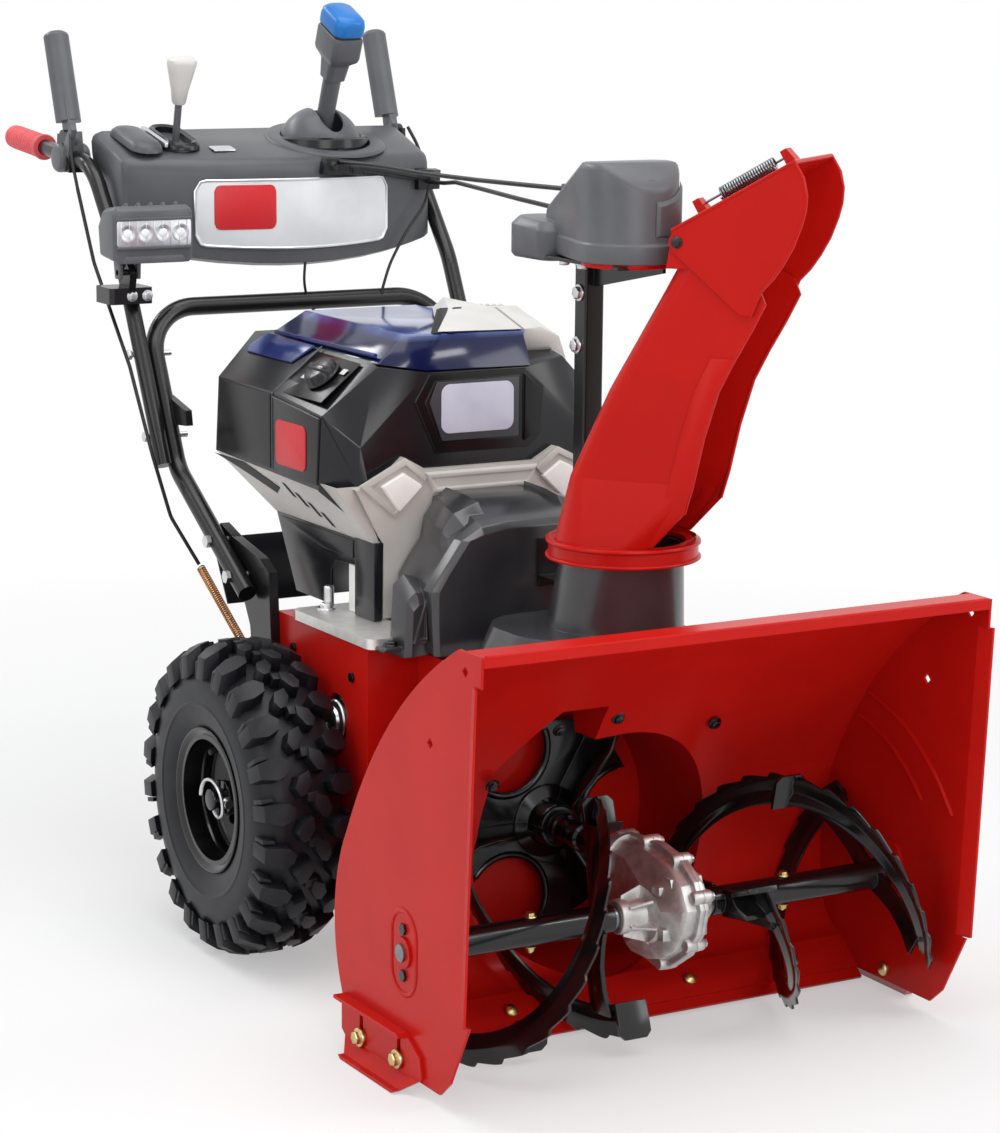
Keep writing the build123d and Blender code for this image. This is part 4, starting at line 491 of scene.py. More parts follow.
def front_slab(outline, y, depth, taper=0.0):
    """Slab from an (x, z) outline at y, standing forward by the depth."""
    return prism(outline, (0, y, 0), (1, 0, 0), (0, 0, 1), depth, taper)


def side_slab(outline, x, depth, taper=0.0):
    """Slab from a (y, z) outline at x; a positive depth runs towards +X."""
    return prism(outline, (x, 0, 0), (0, 1, 0), (0, 0, 1), depth, taper)


def flat_slab(outline, z, depth, taper):
    """Slab from an (x, y) outline at height z, rising by the depth."""
    return prism(outline, (0, 0, z), (1, 0, 0), (0, 1, 0), depth, taper)


def hull(points):
    """Convex faceted body through the points."""
    shape = bmesh.new()
    for point in points:
        shape.verts.new(point)
    bmesh.ops.convex_hull(shape, input=shape.verts)
    loose = [v for v in shape.verts if not v.link_faces]
    bmesh.ops.delete(shape, geom=loose, context="VERTS")
    bmesh.ops.dissolve_limit(
        shape, angle_limit=radians(1.5), verts=shape.verts, edges=shape.edges, delimit=set(),
    )
    shape.verts.index_update()
    corners = [tuple(v.co) for v in shape.verts]
    faces = [tuple(v.index for v in f.verts) for f in shape.faces]
    shape.free()
    return corners, faces


def mirrored(form):
    """The form's mirror image across the machine's middle plane."""
    corners, faces = form
    return [(-x, y, z) for x, y, z in corners], [tuple(reversed(f)) for f in faces]


def both_sides(form):
    """The form and its mirror image."""
    return [form, mirrored(form)]


def round_outline(width, height, radius, steps, centre=(0, 0)):
    """Rounded rectangle as a list of points, with so many steps to a corner."""
    points = []
    for quarter, (sx, sy) in enumerate(((1, 1), (-1, 1), (-1, -1), (1, -1))):
        for i in range(steps + 1):
            turn = pi / 2 * (quarter + i / steps)
            points.append((
                centre[0] + sx * (width / 2 - radius) + radius * cos(turn),
                centre[1] + sy * (height / 2 - radius) + radius * sin(turn),
            ))
    return points


def circle_outline(radius, steps):
    """Regular polygon as a list of points."""
    return [(radius * cos(tau * i / steps), radius * sin(tau * i / steps)) for i in range(steps)]


def smooth_path(points, steps=8):
    """Catmull-Rom curve through the points."""
    spots = [Vector(p) for p in points]
    spots = [spots[0] * 2 - spots[1], *spots, spots[-1] * 2 - spots[-2]]
    path = []
    for i in range(1, len(spots) - 2):
        before, here, after, beyond = spots[i - 1:i + 3]
        for step in range(steps):
            t = step / steps
            path.append(
                (here * 2 + (after - before) * t + (before * 2 - here * 5 + after * 4 - beyond) * t * t
                 + (here * 3 - before - after * 3 + beyond) * t * t * t) / 2
            )
    path.append(spots[-2])
    return path


def tube(path, radius, sides):
    """Round bar along a path, with flat ends."""
    path = [Vector(p) for p in path]
    rings = []
    side = None
    for i, spot in enumerate(path):
        ahead = (path[min(i + 1, len(path) - 1)] - path[max(i - 1, 0)]).normalized()
        if side is None:
            side = ahead.orthogonal().normalized()
        side = (side - ahead * side.dot(ahead)).normalized()
        up = ahead.cross(side)
        rings.append([
            spot + (side * cos(tau * j / sides) + up * sin(tau * j / sides)) * radius
            for j in range(sides)
        ])
    return loft(rings)


COIL_STEPS_PER_TURN, COIL_WIRE_SIDES = 14, 6


def coil(start, end, coil_r, wire_r, turns):
    """Helical spring wire between two points."""
    start, end = Vector(start), Vector(end)
    axis = (end - start).normalized()
    side = axis.orthogonal().normalized()
    up = axis.cross(side)
    count = turns * COIL_STEPS_PER_TURN
    path = []
    for i in range(count + 1):
        spin = tau * i / COIL_STEPS_PER_TURN
        path.append(start.lerp(end, i / count) + (side * cos(spin) + up * sin(spin)) * coil_r)
    return tube(path, wire_r, COIL_WIRE_SIDES)


def hex_head(place, axis, radius, height, washer=1.35):
    """Hexagon head on a round flange, standing along the axis."""
    axis = Vector(axis).normalized()
    flange = lathe(
        [(0, 0), (0, radius * washer), (height * 0.3, radius * washer * 0.94), (height * 0.3, 0)],
        place, axis, 18,
    )
    side = axis.orthogonal().normalized()
    up = axis.cross(side)
    lower = [Vector(place) + side * x + up * y for x, y in circle_outline(radius, 6)]
    rings = [
        lower, [p + axis * height * 0.85 for p in lower],
        [Vector(place) + axis * height + (p - Vector(place)) * 0.82 for p in lower],
    ]
    return [flange, loft(rings)]


def hex_heads(places, axis, radius, height, washer=1.35):
    """The same hexagon head at each of the places."""
    return [form for place in places for form in hex_head(place, axis, radius, height, washer)]


def dome_head(place, axis, radius, height):
    """Low round bolt head."""
    profile = [(0, 0), (0, radius), (height * 0.35, radius * 0.96), (height * 0.75, radius * 0.72),
               (height, radius * 0.3), (height, 0)]
    return lathe(profile, place, axis, 20)


# ---- Wheels ------------------------------------------------------------------------------

WHEEL_Y, WHEEL_Z = -62.0, 201.0
TYRE_R, TYRE_HALF = 201.0, 61.0
WHEEL_X = 278.0
LUGS = 22
LUG_FOOT_WIDTH, LUG_TOP_WIDTH = 1.06, 0.93
SHOULDER_FALL, SHOULDER_FROM, SHOULDER_ROOT_DROP = 15, 50, 12


def tread_radius(x):
    """Radius of the tread's crown at x across the tyre, falling off towards its shoulders."""
    return TYRE_R - 0.6 - SHOULDER_FALL * (abs(x) / TYRE_HALF) ** 3.5


def lug_block(centre_x, spin, outline, root, rise=0.0):
    """Tread block: an (along, across) outline wrapped round the tyre, tapering to its top."""
    mid_s = sum(s for s, _ in outline) / len(outline)
    mid_x = sum(x for _, x in outline) / len(outline)
    rings = []
    for share, grow in ((0.0, LUG_FOOT_WIDTH), (1.0, LUG_TOP_WIDTH)):
        ring = []
        for s, x in outline:
            wide_s, wide_x = mid_s + (s - mid_s) * grow, mid_x + (x - mid_x) * grow
            base = root if abs(x) < SHOULDER_FROM else root - SHOULDER_ROOT_DROP
            radius = base + (tread_radius(x) + rise - base) * share
            turn = spin + wide_s / TYRE_R
            ring.append((centre_x + wide_x, WHEEL_Y + radius * cos(turn), WHEEL_Z + radius * sin(turn)))
        rings.append(ring)
    return loft(rings)


def make_wheel(side, tag):
    """Snow tyre with staggered lugs, and its rim's rolled rings, collar, pin and valve stem."""
    body = "wheel_" + tag
    centre = side * WHEEL_X
    hub = (centre, WHEEL_Y, WHEEL_Z)
    half = [
        (38, 84), (46, 82), (50.5, 86), (51, 91), (53.5, 96), (57, 104), (59.8, 116), (60.4, 120),
        (61.4, 121.5), (61.6, 124.5), (60.8, 126), (61, 140), (58.6, 152), (54.5, 162), (49, 170),
        (42, 176), (30, 180), (14, 182),
    ]
    profile = half + [(0, 182.3)] + [(-x, r) for x, r in reversed(half)]
    forms = [lathe(profile, hub, (1, 0, 0), 88)]
    shoulder = ((-11, 62), (12, 62), (17, 43), (10, 27), (-4, 23), (-13, 33), (-14, 47))
    notch = ((-20, 61), (-13, 61), (-15, 47), (-21, 49))
    middle = ((-17, 2), (-2, 0), (14, 9), (16, 18), (4, 24), (-11, 18))
    bridge = ((-6, -8), (6, -8), (7, 8), (-7, 8))
    pitch = tau / LUGS
    for i in range(LUGS):
        for hand, shift in ((1, 0.0), (-1, 0.5)):
            spin = (i + shift) * pitch
            forms.append(lug_block(centre, spin, [(s, hand * x) for s, x in shoulder], 168))
            forms.append(lug_block(centre, spin, [(s, hand * x) for s, x in notch], 168, -9))
            forms.append(lug_block(centre, spin + 0.42 * pitch, [(s, hand * x) for s, x in middle], 178))
        forms.append(lug_block(centre, (i + 0.22) * pitch, bridge, 178, -3))
    settle("tyre_" + tag + "_tread", forms, TYRE_RUBBER, body, "tyre_rubber", "tyre_" + tag, edge=0.7,
           crease=24)

    bead = [(47, 82), (50, 88), (53.5, 93), (55.5, 92.5), (56, 90), (54, 86), (51, 81), (49, 79.5)]
    step = [(20, 78.2), (24, 75.5), (27, 77), (30, 78.2)]
    dish = [(2, 66), (6, 70.5), (9.5, 72), (12, 77), (8, 77), (4, 71)]
    ring = [(-6, 40), (-2.5, 42), (-2.5, 46), (-6, 48)]
    rolled = [lathe([(a * side, r) for a, r in p], hub, (1, 0, 0), 64) for p in (bead, step, dish, ring)]
    settle("rim_" + tag + "_rolled_rings", rolled, BLACK_GLOSS, body, "black_paint", edge=0.6)
    face = centre + side * 46
    end_cap = lathe([(0, 0), (0, 13.6), (2, 14.5), (5, 13.5), (6, 9), (6, 0)], (face, WHEEL_Y, WHEEL_Z),
                    (side, 0, 0), 24)
    collar = lathe([(0, 12.2), (0, 22), (3, 23), (8, 22), (9, 12.2)], (centre + side * 24, WHEEL_Y, WHEEL_Z),
                   (side, 0, 0), 28)
    settle("hub_" + tag + "_collar", [end_cap, collar], BLACK_GLOSS, body, "black_paint", edge=0.8)
    pin_x = centre + side * 38
    ring_path = []
    for i in range(25):
        turn = tau * i / 24
        ring_path.append((pin_x + side * (8 + 7 * cos(turn / 2)), WHEEL_Y - 4 + 25 * cos(turn),
                          WHEEL_Z + 2 + 25 * sin(turn)))
    pin = [
        tube(ring_path, 2.3, 8),
        tube([(pin_x, WHEEL_Y - 26, WHEEL_Z), (pin_x, WHEEL_Y + 24, WHEEL_Z)], 4.2, 10),
        lathe([(0, 0), (0, 6), (4, 7.5), (9, 7.5), (12, 5), (12, 0)], (pin_x, WHEEL_Y - 32, WHEEL_Z),
              (0, 1, 0), 16),
    ]
    settle("lynch_pin_" + tag, pin, BRIGHT_ZINC, body, "black_paint")
    stem_base = Vector((centre + side * 14, WHEEL_Y + 16, WHEEL_Z + 67))
    lean = Vector((side * 0.94, -0.1, -0.3)).normalized()
    stem = lathe([(0, 0), (0, 5.5), (5, 5.8), (9, 4), (20, 3.6), (21, 4.4), (30, 4.4), (32, 3), (32, 0)],
                 stem_base, lean, 14)
    settle("valve_stem_" + tag, [stem], VALVE_RUBBER, body, "tyre_rubber")


# ---- Augers ------------------------------------------------------------------------------

AUGER_Y, AUGER_Z = -600.0, 156.0
RIBBON_START, RIBBON_END, RIBBON_SWEEP = 60.0, 322.0, 246.0
RIBBON_INNER, RIBBON_ROOT, RIBBON_TIP = 103.0, 136.5, 141.5
TOOTH_TURN = 14.0


def around_auger(x, radius, degrees):
    """Point about the auger's axis; degrees run from the back, over the top."""
    turn = radians(degrees)
    return Vector((x, AUGER_Y + radius * cos(turn), AUGER_Z + radius * sin(turn)))


def auger_ribbon(side, start):
    """Spiral band with a pressed ridge along its middle and a toothed outer edge."""
    marks = []
    teeth = int(RIBBON_SWEEP / TOOTH_TURN)
    for i in range(teeth):
        for share, tall in ((0.0, 0.0), (0.12, 1.0), (0.3, 0.85), (0.5, 0.55), (0.72, 0.25), (0.9, 0.05)):
            marks.append((i + share, tall))
    marks.append((teeth, 0.0))
    rings = []
    for mark, tall in marks:
        degrees = start + mark * RIBBON_SWEEP / teeth
        x = side * (RIBBON_START + (RIBBON_END - RIBBON_START) * mark / teeth)
        tip = RIBBON_ROOT + (RIBBON_TIP - RIBBON_ROOT) * tall
        section = [
            (RIBBON_INNER, -1), (RIBBON_INNER + 2, 3.2), (RIBBON_INNER + 9, 3.6), (RIBBON_INNER + 14, 6.4),
            (RIBBON_INNER + 19, 6.4), (RIBBON_INNER + 24, 3.2), (tip, 1.6), (tip, -1.8),
            (RIBBON_INNER + 24, -0.6), (RIBBON_INNER + 18, 2.2), (RIBBON_INNER + 14, 2.2),
            (RIBBON_INNER + 8, -1.2),
        ]
        rings.append([around_auger(x + side * lift, radius, degrees) for radius, lift in section])
    return loft(rings)


def auger_arm(side, x, degrees, root_half, end_half, lean):
    """Welded arm from the tube out to a ribbon, leaning by so many degrees on its way."""
    rings = []
    for share in (0.0, 0.15, 0.4, 0.7, 1.0):
        radius = 12 + (RIBBON_INNER + 8 - 12) * share
        half = root_half + (end_half - root_half) * share - 4 * sin(pi * share)
        turn = degrees + lean * share
        centre = around_auger(x, radius, turn)
        tangent = Vector((0, -sin(radians(turn)), cos(radians(turn))))
        bow = side * 3.5 * sin(pi * share)
        rings.append([
            centre - tangent * half + Vector((-3 + bow, 0, 0)), centre + Vector((-3 + bow * 2, 0, 0)),
            centre + tangent * half + Vector((-3 + bow, 0, 0)),
            centre + tangent * half + Vector((3 + bow, 0, 0)), centre + Vector((3 + bow * 2, 0, 0)),
            centre - tangent * half + Vector((3 + bow, 0, 0)),
        ])
    return loft(rings)


def auger_flap(x_low, x_high, degrees, inner, outer, twist=0.0):
    """Bent paddle on a ribbon, with clipped corners, facing along the turn."""
    rings = []
    clip = 7.0
    outline = (
        (x_low, inner), (x_high, inner), (x_high, outer - clip), (x_high - clip, outer),
        (x_low + clip, outer), (x_low, outer - clip),
    )
    for offset in (-1.3, 1.3):
        rings.append([around_auger(x, r, degrees + offset + twist * (r - inner)) for x, r in outline])
    return loft(rings)


def make_auger(side, first, tag, extras):
    """One auger: tube, two ribbons, their arms and paddles."""
    axis_place = (0, AUGER_Y, AUGER_Z)
    profile = [(68, 10.2), (68, 16), (69, 17.2), (96, 17.2), (97, 17), (310, 17), (311, 19.5), (320, 19.5),
               (322, 17), (328, 17), (328, 10.2)]
    forms = [lathe([(side * a, r) for a, r in profile], axis_place, (1, 0, 0), 32)]
    rate = RIBBON_SWEEP / (RIBBON_END - RIBBON_START)
    for start in (first, first + 180):
        forms.append(auger_ribbon(side, start))
        forms.append(auger_arm(side, side * 84, start + (84 - RIBBON_START) * rate, 17, 21, -8))
        forms.append(auger_arm(side, side * 306, start + (306 - RIBBON_START) * rate, 14, 18, 6))
        forms.append(auger_flap(side * 60 - 21, side * 60 + 21, start + 1, 98, 141.5))
        forms.append(auger_flap(side * 60 - 21, side * 60 + 21, start + 3.4, 98, 112, 0.9))
    forms.extend(extras)
    settle("auger_" + tag + "_serrated", forms, BLACK_GLOSS, "augers", "black_paint", "auger_" + tag,
           edge=0.7)


def make_augers():
    """Both augers, each with one more paddle, and their shear bolts and hub seals."""
    make_auger(-1, 69.0, "left", [auger_flap(-200, -158, 262, 100, 141, 0.1)])
    make_auger(1, 157.5, "right", [auger_flap(158, 200, 88, 100, 141.5, 0.1)])
    heads = []
    for side in (-1, 1):
        heads += hex_head((side * 175, AUGER_Y, AUGER_Z + 17.2), (0, 0, 1), 5.6, 5.5)
        heads += hex_head((side * 175, AUGER_Y, AUGER_Z - 17.2), (0, 0, -1), 5.6, 5.5)
    settle("shear_bolt_heads", heads, YELLOW_ZINC, "augers", "zinc_steel", edge=0.4)
    seal = ((61.6, 10.1), (61.6, 14), (64, 15), (68, 15), (68, 10.1))
    hubs = [
        lathe([(a * side, r) for a, r in seal], (0, AUGER_Y, AUGER_Z), (1, 0, 0), 24) for side in (-1, 1)
    ]
    settle("auger_hub_seals", hubs, STEEL, "augers", "steel", edge=0.5)


# ---- Gear case ---------------------------------------------------------------------------

CASE_SPLIT, CASE_Z = 8.0, 160
CASE_OUTLINE = [
    (-506, 226), (-548, 229), (-592, 229), (-634, 222), (-664, 204), (-680, 176), (-672, 146), (-652, 118),
    (-622, 98), (-588, 89), (-556, 92), (-530, 110), (-512, 140), (-503, 182),
]
CASE_BOLTS = (
    (-512, 222), (-566, 229), (-630, 223), (-675, 190), (-662, 130), (-606, 93), (-540, 101), (-506, 158),
)


def case_section(x, shrink):
    """Ring of the gear case at x: the flange outline drawn in towards the wheel's axis."""
    ring = []
    for y, z in CASE_OUTLINE:
        dy, dz = y - AUGER_Y, z - CASE_Z
        reach = hypot(dy, dz)
        share = max(reach - shrink, 12) / reach
        if y > -560:
            share = max(reach - shrink * 0.55, 12) / reach
        ring.append((x, AUGER_Y + dy * share, CASE_Z + dz * share))
    return ring


def make_gear_case():
    """Two cast halves, sharp-edged: bolted flange, bosses, webs and shaft necks."""
    halves = {}
    bolts = []
    for sign, half in ((-1, "left"), (1, "right")):
        depth = 1.0 if sign < 0 else 0.8

        def at(reach):
            """x of a place so far out from the split."""
            return CASE_SPLIT + sign * (0.15 + reach * depth)

        forms = [loft([case_section(at(0), -5), case_section(at(5.5), -5), case_section(at(6.5), -3)])]
        forms.append(loft([
            case_section(at(4), 3), case_section(at(17), 6), case_section(at(21), 11),
            case_section(at(30), 34), case_section(at(33), 40),
        ]))
        hub = [(at(20), 12), (at(20), 40), (at(31), 34), (at(33), 26), (at(36), 20), (sign * 48, 18.5),
               (sign * 49, 21), (sign * 60, 20.5), (sign * 61.5, 19), (sign * 61.5, 10.3), (at(24), 10.3)]
        forms.append(lathe(hub, (0, AUGER_Y, AUGER_Z), (1, 0, 0), 40))
        for y, z in CASE_BOLTS:
            place = (at(0), y, z)
            forms.append(lathe([(0, 0), (0, 8.6), (10, 8.2), (12.5, 7), (12.5, 0)], place, (sign, 0, 0), 16))
            if sign > 0:
                bolts += hex_head((at(0) + 12.5, y, z), (1, 0, 0), 5.2, 4.4, 1.2)
        for i in range(6):
            turn = tau * (i + 0.35) / 6
            spin = Matrix.Rotation(turn, 4, "X")
            web = [
                (at(14), 50, -2.2), (at(31), 34, -1.8), (sign * 52, 24, -1.6), (sign * 52, 18, -1.6),
                (at(14), 18, -2.2),
            ]
            forms.append(loft([
                [tuple(spin @ Vector((x, r, w * flip)) + Vector((0, AUGER_Y, AUGER_Z))) for x, r, w in web]
                for flip in (1, -1)
            ]))
        for y, z, wide, tall in ((-566, 128, 20, 13), (-628, 190, 18, 12), (-640, 140, 14, 16)):
            forms.append(side_slab(round_outline(wide, tall, 2.5, 3, (y, z)), at(18), sign * 14, 1.2))
        forms.append(side_slab([(-650, 196), (-520, 214), (-520, 220), (-646, 206)], at(16), sign * 7, 1.0))
        halves[half] = forms
    neck = [(0, 12.2), (0, 30), (10, 29), (16, 25), (34, 22.5), (36, 21), (36, 12.2)]
    halves["left"].append(lathe(neck, (0, -530, 200), (0, 1, 0), 36))
    for name, half, cad_node in (
        ("gear_case_casting", "left", "gear_case"), ("gear_case_cover_casting", "right", "gear_case_cover"),
    ):
        settle(
            name, halves[half], CAST_ALUMINIUM, "machine", "cast_aluminium", cad_node, edge=1.1, crease=26,
        )
    settle("gear_case_bolts", bolts, BRIGHT_ZINC, "machine", "cast_aluminium", edge=0.4)


# ---- Impeller ----------------------------------------------------------------------------

IMPELLER_Y, IMPELLER_Z = -328.0, 200.0
BLADES = 3


def make_impeller():
    """Three-bladed thrower: dished plate with rimmed scallops and curled blade tips."""
    outline = []
    for blade in range(BLADES):
        middle = radians(60 + blade * 360 / BLADES)
        for i in range(9):
            turn = middle + radians(-17 + 34 * i / 8)
            outline.append((128 * cos(turn), 128 * sin(turn)))
        gap = middle + pi / BLADES
        bite = Vector((108 * cos(gap), 108 * sin(gap)))
        for i in range(13):
            swing = gap + pi + radians(98) - radians(196) * i / 12
            outline.append((bite.x + 54 * cos(swing), bite.y + 54 * sin(swing)))
    lifted = [(x, z + IMPELLER_Z) for x, z in outline]
    forms = [front_slab(lifted, IMPELLER_Y - 6, 4.0)]
    hub = (0, IMPELLER_Y, IMPELLER_Z)
    boss = [(-20, 12.2), (-20, 28), (6, 30), (10, 46), (14, 46), (18, 30), (40, 28), (44, 25), (44, 12.2)]
    forms.append(lathe(boss, hub, (0, -1, 0), 40))
    for blade in range(BLADES):
        gap = radians(120 + blade * 360 / BLADES)
        bite = Vector((108 * cos(gap), 0, 108 * sin(gap)))
        rim_path = []
        for i in range(17):
            swing = gap + pi + radians(84) - radians(168) * i / 16
            rim_path.append(Vector(hub) + bite + Vector((56 * cos(swing), -9, 56 * sin(swing))))
        forms.append(tube(rim_path, 4.6, 8))
        spin = Matrix.Rotation(-radians(60 + blade * 360 / BLADES), 4, "Y")
        sections = []
        for reach, low, curl in (
            (26, 50, 0), (70, 66, 0), (110, 74, 0), (130, 74, 3), (140, 72, 10), (144, 70, 20),
        ):
            sections.append([
                (reach, -7, -2.4 + curl), (reach, -low, -2.4 + curl), (reach, -low, 2.4 + curl),
                (reach, -7, 2.4 + curl),
            ])
        blade_form = loft(sections)
        forms.append(([tuple(spin @ Vector(c) + Vector(hub)) for c in blade_form[0]], blade_form[1]))
    settle("impeller_three_blade", forms, BLACK_GLOSS, "impeller", "black_paint", "impeller", edge=1.2)
    joint = (0, -372, IMPELLER_Z)
    coupling = [
        lathe([(0, 12.1), (0, 19), (4, 20), (14, 20), (16, 17), (30, 17), (32, 15.5), (44, 15.5), (46, 18.5),
               (60, 18.5), (62, 14), (118, 14), (120, 19), (134, 19), (136, 12.1)], joint, (0, -1, 0), 32),
    ]
    coupling += hex_head((0, -395, IMPELLER_Z + 17), (0, 0, 1), 5, 4)
    settle("impeller_coupling", coupling, BLACK_GLOSS, "impeller", "steel", edge=0.7)


# ---- Auger housing fittings --------------------------------------------------------------

SIDE_X = 338.0


def make_housing_fittings():
    """Screws, recess rims, pressed ribs, rolled lip and bolt heads of the auger housing."""
    screws = []
    for x, z in ((-172, 305), (-105, 372), (-27, 378), (118, 352)):
        spot_y = -476 - (z - 268) * 0.55
        screws += hex_head((x, spot_y - 9, z), (0, -0.88, -0.47), 6.2, 5.5, 1.45)
    settle("drum_screws", screws, BLACK_GLOSS, "machine", "black_paint", edge=0.4)
    pressings = []
    for side in (-1, 1):
        face = side * (SIDE_X + 0.2)
        outer = round_outline(64, 104, 31.9, 10, (AUGER_Y, AUGER_Z))
        crown = round_outline(58, 98, 28.9, 10, (AUGER_Y, AUGER_Z))
        inner = round_outline(50, 90, 24.9, 10, (AUGER_Y, AUGER_Z))
        rings = [
            [(face, y, z) for y, z in outer], [(face + side * 1.6, y, z) for y, z in crown],
            [(face, y, z) for y, z in inner],
        ]
        pressings.append(loft(rings, closed=True))
    settle("bearing_recess_rims", pressings, RED, "machine", "red_paint", edge=0.5)
    ribs = []
    arcs = (
        ((-545, 369), (-562, 365), (-610, 348), (-653, 321), (-689, 288), (-716, 254)),
        ((-528, 337), (-543, 334), (-587, 317), (-626, 290), (-657, 260)),
    )
    for side in (-1, 1):
        for arc in arcs:
            ribs.append(tube(smooth_path([(side * (SIDE_X - 3.2), y, z) for y, z in arc], 4), 3.4, 10))
    settle("side_plate_pressed_ribs", ribs, RED, "machine", "red_paint")
    lip = tube([(-SIDE_X + 6, -768, 525), (SIDE_X - 6, -768, 525)], 2.6, 10)
    settle("housing_rolled_lip", [lip], RED, "machine", "red_paint")
    heads = []
    for side in (-1, 1):
        for y, z in ((-505, 28), (-596, 31)):
            heads.append(dome_head((side * (SIDE_X - 6.2), y, z), (-side, 0, 0), 8.5, 5))
            heads += hex_head((side * (SIDE_X + 6), y, z), (side, 0, 0), 8.2, 8.5, 1.45)
    for x in (-280, -155, -31, 95, 247):
        heads.append(dome_head((x, -524.6, 35.6), (0, -0.63, 0.777), 8.5, 4.6))
    settle("housing_bolt_heads", heads, YELLOW_ZINC, "machine", "zinc_steel", edge=0.4)


# ---- Power head --------------------------------------------------------------------------

SHOULDER = dict(origin=(-200, 0, 700), across=(0, -1, 0), up=(0.775, 0, 0.631))
SHOULDER_OUT = Vector((-0.631, 0, 0.775))
CHIN = dict(origin=(-199.5, 0, 603), across=(0, -1, 0), up=(-0.561, 0, 0.828))
CHIN_OUT = Vector((-0.828, 0, -0.561))


def on_shoulder(points, lift, depth, taper=0.0):
    """Slab on the left bevelled shoulder from (y, x) places."""
    outline = [(-y, (x - SHOULDER["origin"][0]) / SHOULDER["up"][0]) for y, x in points]
    origin = Vector(SHOULDER["origin"]) + SHOULDER_OUT * lift
    return prism(outline, origin, SHOULDER["across"], SHOULDER["up"], depth, taper)


def on_chin(points, lift, depth):
    """Slab on the chin's sloping left side from (y, z) places."""
    outline = [(-y, (z - CHIN["origin"][2]) / CHIN["up"][2]) for y, z in points]
    origin = Vector(CHIN["origin"]) + CHIN_OUT * lift
    return prism(outline, origin, CHIN["across"], CHIN["up"], depth)


def make_power_housing():
    """Faceted black moulding with its corner guards, panels, display frame, and grey lines of painted
    highlight along its seams and edges.
    """
    corner = [
        (-200, -122, 688), (-200, 17, 702), (-200, 180, 702), (-200, 190, 603), (-200, -113, 594),
        (-165, -158, 651), (-167, -158, 603), (-91, -158, 705), (-71, -158, 739), (-133, -142, 748),
        (-130, -120, 754), (-130, 215, 755), (-165, 230, 690), (-165, 230, 603), (-150, 190, 594),
        (-150, -150, 594),
    ]
    forms = [hull(corner + [(-x, y, z) for x, y, z in corner])]
    guard = hull([
        (-200, -122, 688), (-165, -158.4, 651), (-167, -158.4, 603), (-140, -169, 531), (-200.4, -113, 593),
        (-150, -120, 640), (-136, -140, 545), (-170, -95, 596),
    ])
    forms += both_sides(guard)
    settle("power_head_shell", forms, BLACK_ABS, "machine", "black_plastic", "power_housing", edge=2.0)

    panels = [
        on_shoulder([(12, -196), (12, -138), (-112, -140), (-112, -196)], 0, 0.5, 0.4),
        side_slab([(12, 600), (12, 698), (-118, 685), (-112, 600)], -200, -2.2, 1.2),
        side_slab([(22, 603), (22, 699), (176, 700), (182, 606)], -200, -1.4, 1.0),
    ]
    # Painted highlights: thin grey bars along a seam and two edges, where the light catches them.
    seam_highlights = [
        tube([(-200.8, 17, 603), (-200.8, 17, 700), (-133, 10, 757)], 1.1, 6),
        tube([(-200.6, -120, 688), (-165.4, -158.4, 651.5)], 0.9, 6),
        tube([(-202.4, 12, 696), (-202.4, -118, 684.5)], 0.8, 6),
    ]
    settle("power_head_seam_highlights", seam_highlights, GREY_ABS, "machine", "black_plastic")
    settle("power_head_label_panels", panels, BLACK_SHEET, "machine", "black_plastic", edge=0.9)
    window = [on_shoulder([(186, -150), (172, -131), (28, -133), (44, -160), (177, -160)], 0.2, 2.4, 1.5)]
    settle("power_head_side_window", window, BLUE_GLASS, "machine", "blue_tint", edge=0.8)
    badge = prism(round_outline(86, 58, 10, 6, (40, 641)), (-202.3, 0, 0), (0, -1, 0), (0, 0, 1), 1.4, 0.6)
    settle("blank_side_badge", [badge], RED_BADGE, "machine", "red_paint", edge=0.4)
    marks = []
    for y, x in ((-34, -152), (-60, -172), (-22, -172), (-98, -156)):
        marks.append(on_shoulder([(y + 6, x - 3), (y + 6, x + 4), (y - 6, x + 4), (y - 6, x - 3)], 2.4, 0.5))
    settle("dial_marks", marks, LIGHT_ABS, "machine", "light_grey_plastic")

    frame_outline = [(-71, 737), (-91, 704), (-60, 637), (74, 637), (92, 652), (97, 714), (69, 738)]
    opening = [(-62, 728), (-76, 702), (-54, 650), (60, 650), (60, 730)]
    forms = [
        front_slab(frame_outline, -158, 2.5, 1.5),
        front_slab([(66, 733), (66, 645), (86, 656), (90, 712)], -160, 4, 2),
        front_slab(opening, -160.4, 1.2),
    ]
    settle("display_frame", forms, BLACK_SHEET, "machine", "black_plastic", edge=1.2)
    backing = [front_slab([(-60, 727), (-70, 702), (-52, 653), (58, 653), (58, 728)], -161.5, 1.0)]
    settle("display_backing", backing, DISPLAY_GREY, "machine", "black_plastic", edge=0.4)
    screen = [front_slab(round_outline(104, 62, 12, 6, (-2, 693)), -162.4, 1.0)]
    settle("display_panel", screen, DISPLAY_PALE, "machine", "light_grey_plastic", edge=0.4)


def band_pad(hand):
    """Raised lozenge frame at one end of the silver band."""
    outer = [(-173, 606), (-110, 637), (-79, 611), (-124, 563)]
    inner = [(-158, 605), (-110, 628), (-84, 607), (-125, 570)]
    ring = [[(hand * -x, y, z) for x, z in outline] for outline, y in
            ((outer, -169), (outer, -173.5), (inner, -175), (inner, -172))]
    return loft(ring)


